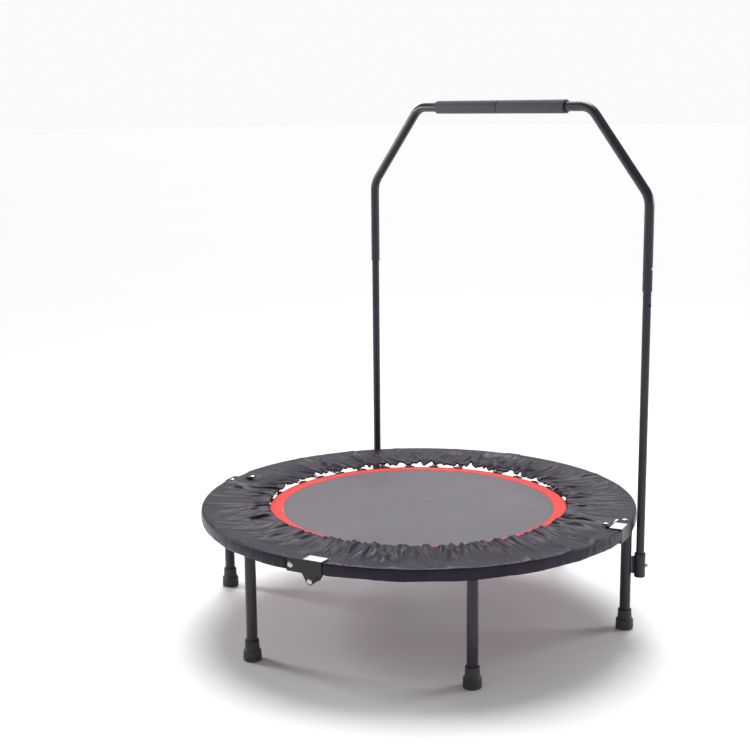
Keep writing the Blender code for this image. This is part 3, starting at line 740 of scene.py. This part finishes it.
def tube_rings(path, radius, sides=40):
    rings = []
    for i, point in enumerate(path):
        heading = (path[min(i + 1, len(path) - 1)] - path[max(i - 1, 0)]).normalized()
        side = Vector((heading.y, -heading.x))
        ring = []
        for a, b in circle(radius, sides):
            x, z = point + side * a
            ring.append(Vector((x, POST["right"].y + b, z)))
        rings.append(ring)
    return rings


def button_place(post, height):
    """On a post's axis, Z outwards to the button."""
    outward = Vector((math.copysign(1, post.x), 0, 0))
    return along(Vector((post.x, post.y, height)), outward)


def drill(piece, heights):
    """Cuts the button holes in both uprights."""
    holes = bmesh.new()
    for post in POST.values():
        for height in heights:
            profile = [(HOLE_RADIUS, 0.004), (HOLE_RADIUS, 0.03)]
            add_turned(holes, profile, button_place(post, height), 24)
    cut(piece, holes)
    smooth(piece)


def make_handle():
    path = handle_path()
    shape = bmesh.new()
    add_pipe(shape, tube_rings(path, HANDLE_RADIUS), tube_rings(path, HANDLE_RADIUS - TUBE_GAUGE))
    tube = finish_piece("handle_tube", shape, FRAME_PAINT, None)
    drill(tube, [BUTTON_HEIGHT])
    declare(tube, "handle_top", ["handle_top"])
    for side in ("left", "right"):
        make_grip(side)
        make_post(side)
        make_button(side)
        make_socket(side)


def make_grip(side):
    low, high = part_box(f"grip_{side}")
    length = high.x - low.x
    middle_end = low.x if side == "right" else high.x
    direction = Vector((1, 0, 0)) if side == "right" else Vector((-1, 0, 0))
    place = along(Vector((middle_end, POST["right"].y, HANDLE_TOP)), direction)
    bore = HANDLE_RADIUS + 0.0002
    profile = [(bore, 0.0), (GRIP_RADIUS, 0.0), (GRIP_RADIUS, length / 2)]
    profile += [(GRIP_RADIUS, length), (bore, length), (bore, length / 2)]
    shape = bmesh.new()
    add_loops(shape, turned(fillet(profile, 0.0026, 5), place, 64), closed=True)
    finish_piece(f"foam_grip_{side}", shape, FOAM, "handle_top", [f"grip_{side}"])


def make_post(side):
    low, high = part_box(f"handle_post_{side}")
    place = Matrix.Translation((POST[side].x, POST[side].y, 0))
    radii = (POST_RADIUS, POST_RADIUS - TUBE_GAUGE)
    outer, inner = (turned([(r, low.z), (r, high.z)], place, 40) for r in radii)
    shape = bmesh.new()
    add_pipe(shape, outer, inner)
    post = finish_piece(f"post_tube_{side}", shape, FRAME_PAINT, None)
    drill(post, [BUTTON_HEIGHT - i * HOLE_PITCH for i in range(HOLES)])
    declare(post, "handle_posts", [f"handle_post_{side}"])


def make_button(side):
    inner = POST_RADIUS + 0.0003
    outer = HANDLE_RADIUS + 0.0036
    radius = HOLE_RADIUS - 0.0004
    profile = [(0, inner), (radius, inner), (radius, outer - 0.0020)]
    profile += [(radius * 0.8, outer - 0.0005), (radius * 0.4, outer), (0, outer)]
    shape = bmesh.new()
    add_turned(shape, fillet(profile, 0.0010, 4), button_place(POST[side], BUTTON_HEIGHT), 32)
    body = f"snap_button_{side}"
    finish_piece(f"button_{side}", shape, STEEL, body, [body])


def make_socket(side):
    node = f"handle_socket_{side}"
    low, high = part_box(node)
    leg = MOUNTS[f"foot_front_{side}_sole"]
    body = f"leg_front_{side}"
    axis = Vector((POST[side].x, POST[side].y, 0))
    place = Matrix.Translation(axis)
    outer, bore = 0.0125, 0.0102
    cup = [(0, low.z), (outer, low.z), (outer, high.z), (bore, high.z), (bore, low.z + 0.002)]
    cup += [(0, low.z + 0.002)]
    shape = bmesh.new()
    add_turned(shape, fillet(cup, 0.0009, 3), place)
    toward = (leg - axis).normalized()
    across = Vector((-toward.y, toward.x, 0))
    web_low, web_high = low.z + 0.0075, high.z - 0.0075
    start, end = outer - 0.001, (leg - axis).length - LEG_RADIUS - 0.0003
    outline = [(start, web_low), (end, web_low), (end, web_high), (start, web_high)]
    web = placed(axis, toward, across, Vector((0, 0, 1)))
    add_prism(shape, outline, web, -0.002, 0.002, 0.0005)
    for sign in (-1, 1):
        bead = []
        for i in range(13):
            height = web_low + (web_high - web_low) * i / 12
            out = outer + 0.0006 + 0.0003 * math.sin(5.0 * i)
            bead.append(web @ Vector((out, sign * 0.0024, height)))
        add_wire(shape, bead, 0.0012, 8)
    finish_piece(f"post_socket_{side}", shape, FRAME_PAINT, body, [node])
    make_socket_screw(side, axis, toward, body)


def hexagon(radius, sides):
    """A circle's worth of points that lie on a hexagon."""
    made = []
    for x, y in circle(1.0, sides):
        turn = (math.atan2(y, x) % math.radians(60)) - math.radians(30)
        reach = radius * math.cos(math.radians(30)) / math.cos(turn)
        made.append((x * reach, y * reach))
    return made


def make_socket_screw(side, axis, toward, body):
    """A cap screw whose head has a hexagon recess."""
    node = f"socket_screw_{side}"
    low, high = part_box(node)
    place = along(axis + Vector((0, 0, (low.z + high.z) / 2)), -toward)
    head = 0.0050
    base, tip = 0.0128, 0.0175
    shape = bmesh.new()
    outside = [(0.0001, 0.0098), (0.0025, 0.0098), (0.0025, base)]
    outside += [(head, base), (head, tip - 0.0006), (head - 0.0006, tip)]
    recess = turned([(0.0026, tip), (0.0026, tip - 0.0025)], place, 36, hexagon)
    floor = turned([(0.0001, tip - 0.0025)], place, 36)
    add_loft(shape, turned(outside, place, 36) + recess + floor)
    finish_piece(f"cap_screw_{side}", shape, ZINC, body, [node], 30)


# ---- springs -----------------------------------------------------------------------------
def spring_place(angle):
    """On the ring's axis at the springs' height, X out along one spring, Y across it."""
    return placed(Vector((0, 0, SPRING_HEIGHT)), radial(angle), tangent(angle), Vector((0, 0, 1)))


def spring_path(angle):
    """Centre line of one extension spring: hook, close-wound body, hook into the tube."""
    place = spring_place(angle)
    path = []

    def point(reach, across, height):
        path.append(place @ Vector((reach, across, height)))

    loop = 0.0042
    for i in range(13):
        turn = math.radians(-60 + 300 * i / 12)
        point(RING_TIP + loop * math.cos(turn), 0, loop * math.sin(turn))
    point(COIL_START - 0.0012, 0.0010, -COIL_RADIUS * 0.8)
    pitch = 2 * WIRE_RADIUS * 1.12
    turns = (COIL_END - COIL_START) / pitch
    per_turn = 10
    total = int(turns * per_turn)
    for i in range(total + 1):
        turn = math.tau * i / per_turn - math.pi / 2
        reach = COIL_START + pitch * i / per_turn
        point(reach, COIL_RADIUS * math.cos(turn), COIL_RADIUS * math.sin(turn))
    wall = RING_RADIUS - TUBE_SIDE / 2
    point(COIL_END + 0.0030, 0.0, COIL_RADIUS * 0.3)
    point(COIL_END + 0.0070, 0.0, COIL_RADIUS * 0.1)
    point(wall + 0.0006, 0.0, 0.0)
    return path


def add_v_ring(shape, angle):
    """A bent wire triangle: its base lies in the tab's loop, its tip takes the spring."""
    place = spring_place(angle)
    base = BAND_RADIUS + 0.0030
    half = TAB_HALF + 0.0020
    corners = [(base, 0), (base, half), (RING_TIP + 0.0010, 0.0010)]
    corners += [(RING_TIP + 0.0010, -0.0010), (base, -half), (base, -0.0004)]
    path = [place @ Vector((r, s, 0)) for r, s in fillet(corners, 0.0030, 4)]
    add_wire(shape, path, RING_WIRE, 8)


def make_springs(quarter, hinge):
    start = HINGES[hinge]
    body = "frame_" + quarter.split("_")[1]
    coils, rings, tabs = bmesh.new(), bmesh.new(), bmesh.new()
    for i in range(SPRINGS_PER_ARC):
        angle = start + SPRING_MARGIN + (90 - 2 * SPRING_MARGIN) * i / (SPRINGS_PER_ARC - 1)
        add_wire(coils, spring_path(angle), WIRE_RADIUS, 5)
        add_v_ring(rings, angle)
        add_tab(tabs, angle)
    node = f"springs_{quarter}"
    finish_piece(f"coil_{node}", coils, ZINC, body, [node])
    finish_piece(f"v_rings_{quarter}", rings, ZINC, body)
    finish_piece(f"ring_tabs_{quarter}", tabs, TAB_CLOTH, body)


def add_tab(shape, angle):
    """A loop of tape sewn under the band, round the base of a V-ring."""
    place = spring_place(angle)
    base = BAND_RADIUS + 0.0030
    sheet = 0.0006
    line = [(BAND_RADIUS - 0.014, -0.0044), (base - 0.002, -0.0034)]
    for i in range(9):
        turn = math.radians(-90 + 180 * i / 8)
        line.append((base + 0.0026 * math.cos(turn), 0.0026 * math.sin(turn)))
    line += [(base - 0.003, 0.0020), (BAND_RADIUS - 0.0005, 0.0010)]
    line += [(r - sheet, z * 0.76) for r, z in reversed(line)]
    steps = (-1, -0.5, 0, 0.5, 1)
    add_loft(shape, [[place @ Vector((r, TAB_HALF * t, z)) for r, z in line] for t in steps])


# ---- mat and band ------------------------------------------------------------------------
def unwrap(piece, place):
    """A UV map in metres from a function of a vertex's position."""
    layer = piece.data.uv_layers.new(name="cloth")
    for loop in piece.data.loops:
        layer.data[loop.index].uv = place(piece.data.vertices[loop.vertex_index].co)


def bend_over_fold(piece):
    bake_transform(piece)


def polar_uv(co):
    """Along a ring in X and across it in Y, in metres."""
    return (math.atan2(co.y, co.x) * BAND_RADIUS, math.hypot(co.x, co.y))


def make_mat():
    sides, steps = 160, 26
    radius = MAT_RADIUS - 0.0006
    reaches = [radius * i / steps for i in range(1, steps + 1)]
    profile = [(r, MAT_TOP) for r in reaches]
    profile += [(r, MAT_TOP - MAT_THICKNESS) for r in reversed(reaches)]
    shape = bmesh.new()
    add_loft(shape, turned(profile, Matrix(), sides))
    mat = finish_piece("woven_mat", shape, MAT_CLOTH, None, ["mat_left", "mat_right"])
    unwrap(mat, lambda co: (co.x, co.y))
    bend_over_fold(mat)


def band_section():
    """Across the folded tape: a rounded outer edge, a flat top and a thin inner edge."""
    inner, outer = MAT_RADIUS + BAND_OVERLAP - 0.0012, BAND_RADIUS
    low = BAND_TOP - 0.0030
    corners = [(inner, low + 0.0004), (inner, BAND_TOP - 0.0001)]
    corners += [(inner + 0.004, BAND_TOP + 0.0002), (outer - 0.004, BAND_TOP + 0.0002)]
    corners += [(outer, BAND_TOP - 0.0012), (outer - 0.001, low)]
    corners += [(inner + 0.01, low), (inner, low + 0.0004)]
    return fillet(corners, 0.0012, 3)[:-1]


def make_band():
    sides = 240
    angles = [360 * i / sides for i in range(sides)]
    shape = bmesh.new()
    add_loops(shape, swept(band_section(), angles), closed=True)
    nodes = ["mat_band_left", "mat_band_right"]
    band = finish_piece("border_band", shape, BAND_CLOTH, None, nodes, 60)
    unwrap(band, polar_uv)
    bend_over_fold(band)
    stitching = make_stitching()


def make_stitching():
    """Two rows of lock stitches round the band."""
    shape = bmesh.new()
    for reach in (MAT_RADIUS + 0.0045, BAND_RADIUS - 0.0050):
        count = int(math.tau * reach / 0.0052)
        for i in range(count):
            angle = 360 * i / count
            middle = polar_point(angle, reach, BAND_TOP + 0.0003)
            line = []
            for t in (-1, -0.5, 0, 0.5, 1):
                dip = Vector((0, 0, 0.0004 * t * t))
                line.append(middle + tangent(angle) * 0.0019 * t - dip)
            add_wire(shape, line, 0.00034, 5)
    stitching = finish_piece("band_stitching", shape, THREAD, None)
    bend_over_fold(stitching)
    return stitching


# ---- cover -------------------------------------------------------------------------------
COVER_COLUMNS = 800
COVER_THICKNESS = 0.0008
CROWN = 0.0018                  # the cloth's height over a bracket's label
WALL_ROWS = 6                   # rows of the section on the outer wall and hem
NOTCHES = {                     # millimetres round the ring each side of the pin, least radius
    "right": (-31.0, 57.0, 0.4640),
    "front": (-58.0, 31.0, 0.5040),
    "left": (-31.0, 57.0, 0.4940),
    "rear": (-58.0, 31.0, 0.4680),
}


def cover_rows():
    """The cover's section from its elastic edge outwards, as (radius, height) points."""
    inner = COVER_IN
    rise = COVER_TOP - 0.0008
    edge = [(inner + 0.0035, rise - 0.0085), (inner + 0.0008, rise - 0.0070)]
    edge += [(inner - 0.0004, rise - 0.0045), (inner + 0.0010, rise - 0.0022)]
    steps = 12
    reaches = [inner + 0.0045 + (0.4400 - inner - 0.0045) * i / steps for i in range(steps + 1)]
    top = [(reach, rise - 0.0024 + 0.0008 * math.exp((inner - reach) / 0.01)) for reach in reaches]
    top += [(0.4500, rise - 0.0022), (0.4590, rise - 0.0018), (0.4680, rise - 0.0012)]
    top += [(0.4780, rise - 0.0004), (0.4890, rise), (COVER_OUT - 0.0080, rise - 0.0001)]
    top += [(COVER_OUT - 0.0035, rise - 0.0010), (COVER_OUT - 0.0008, rise - 0.0038)]
    wall = [(COVER_OUT, COVER_TOP - 0.0085), (COVER_OUT + 0.0004, COVER_TOP - 0.0140)]
    wall += [(COVER_OUT, COVER_TOP - 0.0205), (COVER_OUT - 0.0012, COVER_HEM + 0.0010)]
    wall += [(COVER_OUT - 0.0050, COVER_HEM - 0.0010), (COVER_OUT - 0.0110, COVER_HEM - 0.0016)]
    return edge + top + wall


def gathers(angles, radii):
    """Heights of the folds: crests of seeded place, width, slant and reach."""
    chooser = random.Random(7)
    height = np.zeros((len(angles), len(radii)))
    away = radii[None, :] - COVER_IN
    families = (
        # how many, crest's half width, height, reach, slant
        (250, (0.0020, 0.0034), (0.0022, 0.0056), (0.022, 0.080), 2.5),
        (104, (0.0034, 0.0064), (0.0028, 0.0064), (0.110, 0.240), 6.0),
        (52, (0.0060, 0.0110), (0.0028, 0.0054), (0.180, 0.320), 11.0),
    )
    for count, widths, heights, reaches, slant in families:
        for k in range(count):
            middle = 360 * (k + chooser.uniform(-0.45, 0.45)) / count
            width, lift = chooser.uniform(*widths), chooser.uniform(*heights)
            reach = chooser.uniform(*reaches)
            lean = chooser.uniform(-slant, slant)
            centre = middle + lean * away / 0.14
            off = (angles[:, None] - centre + 180) % 360 - 180
            side = np.radians(off) * radii[None, :] / (width * (1 + away / 0.10))
            fade = np.clip(1 - away / reach, 0, 1)
            fade = np.minimum(1, 1.7 * fade)
            height += lift * np.exp(-np.abs(side) ** 1.4) * fade * fade * (3 - 2 * fade)
    return height


def from_pin(name, angle):
    """Millimetres round the ring from a hinge's pin."""
    off = (angle - HINGES[name] + 180) % 360 - 180
    return math.radians(off) * RING_RADIUS * 1000


def in_notch(angle, reach, row, rows):
    """Whether a patch of the cover lies in the room it leaves for a hinge's bracket."""
    for name, (low, high, least) in NOTCHES.items():
        outside = reach > least - 0.0005 or row > rows - WALL_ROWS - 3
        if outside and low < from_pin(name, angle) < high:
            return True
    return False


def floor_height(reach):
    """The lowest that the cloth may lie: on the band, on the springs or on the tube."""
    levels = np.where(reach < RING_TIP, BAND_TOP + 0.0018, SPRING_HEIGHT + COIL_RADIUS + 0.0030)
    return np.where(reach > RING_RADIUS - TUBE_SIDE / 2 - 0.002, TUBE_TOP + 0.0012, levels)


def over_bracket(angle, reach):
    """The least height where the cover passes over the front and left brackets."""
    least = 0.0
    for name in ("front", "left"):
        low, high, _ = NOTCHES[name]
        off = from_pin(name, angle)
        beyond = max(0.0, low - off, off - high)
        across = min(1.0, max(0.0, (reach - 0.455) / 0.02))
        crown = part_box(f"label_{name}")[1].z + CROWN
        fall = 0.010 * (1 - math.exp(-(beyond / 12) ** 2))
        least = max(least, crown - 0.012 * (1 - across) - fall)
    return least


def cover_shape():
    rows = cover_rows()
    radii = np.array([r for r, _ in rows])
    heights = np.array([z for _, z in rows])
    angles = np.arange(COVER_COLUMNS) * 360 / COVER_COLUMNS
    folds = gathers(angles, radii)
    top_fade = np.clip((COVER_OUT - 0.001 - radii) / 0.014, 0.05, 1)
    edge_wave = np.clip(1 - (radii - COVER_IN) / 0.02, 0, 1)
    swing = 0.0080 * (folds[:, 4] / folds[:, 4].max() - 0.30) - 0.0045
    mean = folds.mean(axis=0)
    run = np.concatenate([[0], np.cumsum(np.hypot(np.diff(radii), np.diff(heights)))])
    shape = bmesh.new()
    layer = shape.loops.layers.uv.new("cloth")
    grid = []
    for i, angle in enumerate(angles):
        column = []
        for j, (radius, height) in enumerate(rows):
            reach = radius + swing[i] * edge_wave[j]
            lift = (folds[i, j] - 0.55 * mean[j]) * top_fade[j]
            below = j - (len(rows) - WALL_ROWS)
            if below >= 0:
                share = (below + 1) / WALL_ROWS
                reach += 0.0007 * share * math.sin(0.62 * i) * math.sin(0.13 * i + 1)
                ripple = 0.0009 * math.sin(0.17 * i) + 0.0007 * math.sin(0.047 * i + 2)
                lift = share * (ripple - 0.0008)
            least = 0.0
            if below < 0 and j > 2:
                crossing = over_bracket(angle, reach) * top_fade[j]
                least = max(float(floor_height(np.array(reach))), crossing)
            top = max(height + lift, float(least))
            column.append(shape.verts.new(polar_point(angle, reach, top)))
        grid.append(column)
    for i in range(COVER_COLUMNS):
        following = (i + 1) % COVER_COLUMNS
        middle = (i + 0.5) * 360 / COVER_COLUMNS
        for j in range(len(rows) - 1):
            if in_notch(middle, (radii[j] + radii[j + 1]) / 2, j, len(rows)):
                continue
            corners = (grid[i][j], grid[following][j], grid[following][j + 1], grid[i][j + 1])
            face = shape.faces.new(corners)
            places = ((i, j), (i + 1, j), (i + 1, j + 1), (i, j + 1))
            for loop, (column, row) in zip(face.loops, places):
                loop[layer].uv = (column * math.tau * 0.45 / COVER_COLUMNS, run[row])
    loose = [v for v in shape.verts if not v.link_faces]
    bmesh.ops.delete(shape, geom=loose, context="VERTS")
    return shape


def add_rest_shape(reach_in, reach_out, height, name):
    """A plain ring for the cloth to rest on while it settles."""
    sides = 96
    angles = [360 * i / sides for i in range(sides)]
    rings = swept([(reach_in, height), (reach_out, height)], angles)
    shape = bmesh.new()
    loops = [[shape.verts.new(p) for p in ring] for ring in rings]
    for first, second in zip(loops, loops[1:] + loops[:1]):
        shape.faces.new((first[0], first[1], second[1], second[0]))
    ring = add_object(name, shape)
    ring.modifiers.new("collide", "COLLISION")
    ring.collision.thickness_outer = 0.001
    ring.collision.cloth_friction = 8
    return ring


CLOTH = {
    "quality": 6,
    "mass": 0.15,
    "tension_stiffness": 14,
    "compression_stiffness": 14,
    "shear_stiffness": 3,
    "bending_stiffness": 0.05,
    "air_damping": 2.0,
    "vertex_group_mass": "pinned",
    "vertex_group_shrink": "slack",
    "shrink_min": 0.0,
    "shrink_max": -0.10,
}
CLOTH_GRAVITY = 0.15
CLOTH_STEPS = 12
CLOTH_CAP = 0.006               # the farthest that settling may move a point


def settle(cover):
    """Cloth simulation that settles the modelled folds, which lose height towards the rim."""
    wall = RING_RADIUS - TUBE_SIDE / 2
    spring_top = SPRING_HEIGHT + COIL_RADIUS
    rests = [
        add_rest_shape(COVER_IN - 0.012, wall, spring_top, "rest_a"),
        add_rest_shape(wall, COVER_OUT - 0.003, TUBE_TOP - 0.0002, "rest_b"),
    ]
    pinned = cover.vertex_groups.new(name="pinned")
    slack = cover.vertex_groups.new(name="slack")
    for vertex in cover.data.vertices:
        reach = math.hypot(vertex.co.x, vertex.co.y)
        held = 1.0 if reach < COVER_IN + 0.0030 or reach > COVER_OUT - 0.0045 else 0.0
        if held == 0.0 and reach > COVER_OUT - 0.012:
            held = 0.5
        pinned.add([vertex.index], held, "REPLACE")
        loose = min(1.0, max(0.0, (COVER_OUT - 0.006 - reach) / 0.10))
        slack.add([vertex.index], loose, "REPLACE")
    cloth = cover.modifiers.new("cloth", "CLOTH")
    settings = cloth.settings
    for key, value in CLOTH.items():
        setattr(settings, key, value)
    cloth.collision_settings.use_collision = True
    cloth.collision_settings.distance_min = 0.001
    cloth.collision_settings.collision_quality = 2
    settings.effector_weights.gravity = CLOTH_GRAVITY
    scene = bpy.context.scene
    cloth.point_cache.frame_start, cloth.point_cache.frame_end = 1, CLOTH_STEPS
    for step in range(1, CLOTH_STEPS + 1):
        scene.frame_set(step)
    before = np.array([v.co for v in cover.data.vertices], float)
    apply_modifiers(cover)
    scene.frame_set(1)
    after = np.array([v.co for v in cover.data.vertices], float)
    move = after - before
    length = np.linalg.norm(move, axis=1, keepdims=True)
    kept = before + move * np.minimum(1, CLOTH_CAP / np.maximum(length, 1e-9))
    reach = np.hypot(kept[:, 0], kept[:, 1])
    on_top = (reach > COVER_IN + 0.004) & (reach < COVER_OUT - 0.002)
    on_top &= before[:, 2] > TUBE_TOP - 0.006
    around = np.degrees(np.arctan2(kept[:, 1], kept[:, 0]))
    crossing = np.array([over_bracket(turn, far) for turn, far in zip(around, reach)])
    crossing = np.where(reach < COVER_OUT - 0.015, crossing, 0)
    least = np.maximum(floor_height(reach), crossing)
    kept[:, 2] = np.where(on_top, np.maximum(kept[:, 2], least), kept[:, 2])
    cover.data.vertices.foreach_set("co", kept.astype(np.float32).ravel())
    for ring in rests:
        bpy.data.objects.remove(ring)


def make_cover():
    cover = finish_piece("edge_cover", cover_shape(), COVER_CLOTH, None, sharp=180)
    settle(cover)
    cover.data.shade_smooth()
    thick = cover.modifiers.new("thick", "SOLIDIFY")
    thick.thickness = COVER_THICKNESS
    thick.offset = -1
    apply_modifiers(cover)
    fine = cover.modifiers.new("fine", "SUBSURF")
    fine.levels = fine.render_levels = 1
    apply_modifiers(cover)
    cover.data.shade_smooth()
    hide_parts(*[f"cover_{quarter}" for quarter in QUARTERS])
    bend_over_fold(cover)


# ---- studio ------------------------------------------------------------------------------
CAMERA_PLACE = (2.3246, -2.1655, 1.1729)
CAMERA_TURN = (48.8, 10.92, -0.56)      # azimuth, pitch down and roll, in degrees
CAMERA_LENS = 67.14                     # millimetres, on a 36 mm sensor
FLOOR_RADIUS = 80
HORIZON = (0.10, (0.96, 0.96, 0.97))    # height on the unit sphere, and colour there
OVERHEAD = (0.22, (0.25, 0.245, 0.26))


def make_camera():
    """A view from the front and one side, slightly from above."""
    azimuth, pitch, roll = (math.radians(turn) for turn in CAMERA_TURN)
    away = Vector((math.sin(azimuth), -math.cos(azimuth), 0))
    right = Vector((math.cos(azimuth), math.sin(azimuth), 0))
    forward = -away * math.cos(pitch) - Vector((0, 0, math.sin(pitch)))
    up = right.cross(forward)
    tilted_right = right * math.cos(roll) + up * math.sin(roll)
    tilted_up = up * math.cos(roll) - right * math.sin(roll)
    data = bpy.data.cameras.new("camera")
    data.lens = CAMERA_LENS
    data.sensor_width = 36
    camera = add_object("camera", data)
    camera.matrix_world = placed(Vector(CAMERA_PLACE), tilted_right, tilted_up, -forward)
    bpy.context.scene.camera = camera


def add_light(name, place, aim, size, power):
    data = bpy.data.lights.new(name, "AREA")
    data.shape = "RECTANGLE"
    data.size, data.size_y = size
    data.energy = power
    light = add_object(name, data)
    light.location = place
    light.rotation_mode = "QUATERNION"
    light.rotation_quaternion = (Vector(aim) - Vector(place)).to_track_quat("-Z", "Y")


def make_world():
    """Soft light all round, white towards the horizon and grey higher up."""
    world = bpy.data.worlds.new("studio")
    world.use_nodes = True
    tree = world.node_tree
    place = tree.nodes.new("ShaderNodeTexCoord")
    split = tree.nodes.new("ShaderNodeSeparateXYZ")
    ramp = tree.nodes.new("ShaderNodeValToRGB")
    tree.links.new(place.outputs["Generated"], split.inputs["Vector"])
    tree.links.new(split.outputs["Z"], ramp.inputs["Fac"])
    for element, (position, colour) in zip(ramp.color_ramp.elements, (HORIZON, OVERHEAD)):
        element.position = position
        element.color = (*colour, 1)
    soft = tree.nodes["Background"]
    soft.inputs["Strength"].default_value = 1.0
    tree.links.new(ramp.outputs["Color"], soft.inputs["Color"])
    bpy.context.scene.world = world


def make_skylight():
    """A wide light from high on one side that reaches the whole floor evenly."""
    data = bpy.data.lights.new("skylight", "SUN")
    data.energy = 2.7
    data.angle = math.radians(32)
    light = add_object("skylight", data)
    light.location = (0, 0, 4)
    light.rotation_euler = (math.radians(-24), math.radians(-26), 0)


def make_studio():
    shape = bmesh.new()
    bmesh.ops.create_circle(shape, cap_ends=True, radius=FLOOR_RADIUS, segments=96)
    floor = add_object("floor", shape)
    floor.location.z = -0.0005
    paint = Paint("floor_paint", (0.96, 0.96, 0.96), 0.7)
    paint.colour(paint.noise(0.7, 2), (0.2, (0.955, 0.955, 0.955)), (0.8, (0.97, 0.97, 0.97)))
    floor.data.materials.append(paint.material)
    make_world()
    make_skylight()
    add_light("overhead", (-0.4, 0.7, 3.0), (0, 0, 0.2), (2.2, 1.6), 10)
    add_light("key", (-2.4, -1.2, 1.4), (0, 0, 0.25), (0.7, 0.7), 34)
    add_light("rim", (1.6, 2.8, 1.3), (0, 0, 0.25), (1.4, 0.6), 38)
    bpy.context.scene.view_settings.view_transform = "Standard"


# ---- everything --------------------------------------------------------------------------
make_camera()
make_studio()
for quarter, hinge in QUARTERS.items():
    make_ring_quarter(quarter, hinge)
    make_springs(quarter, hinge)
dress_hinges()
for mount, foot in MOUNTS.items():
    make_leg(mount[len("foot_"):-len("_sole")], foot)
make_handle()
make_mat()
make_band()
make_cover()
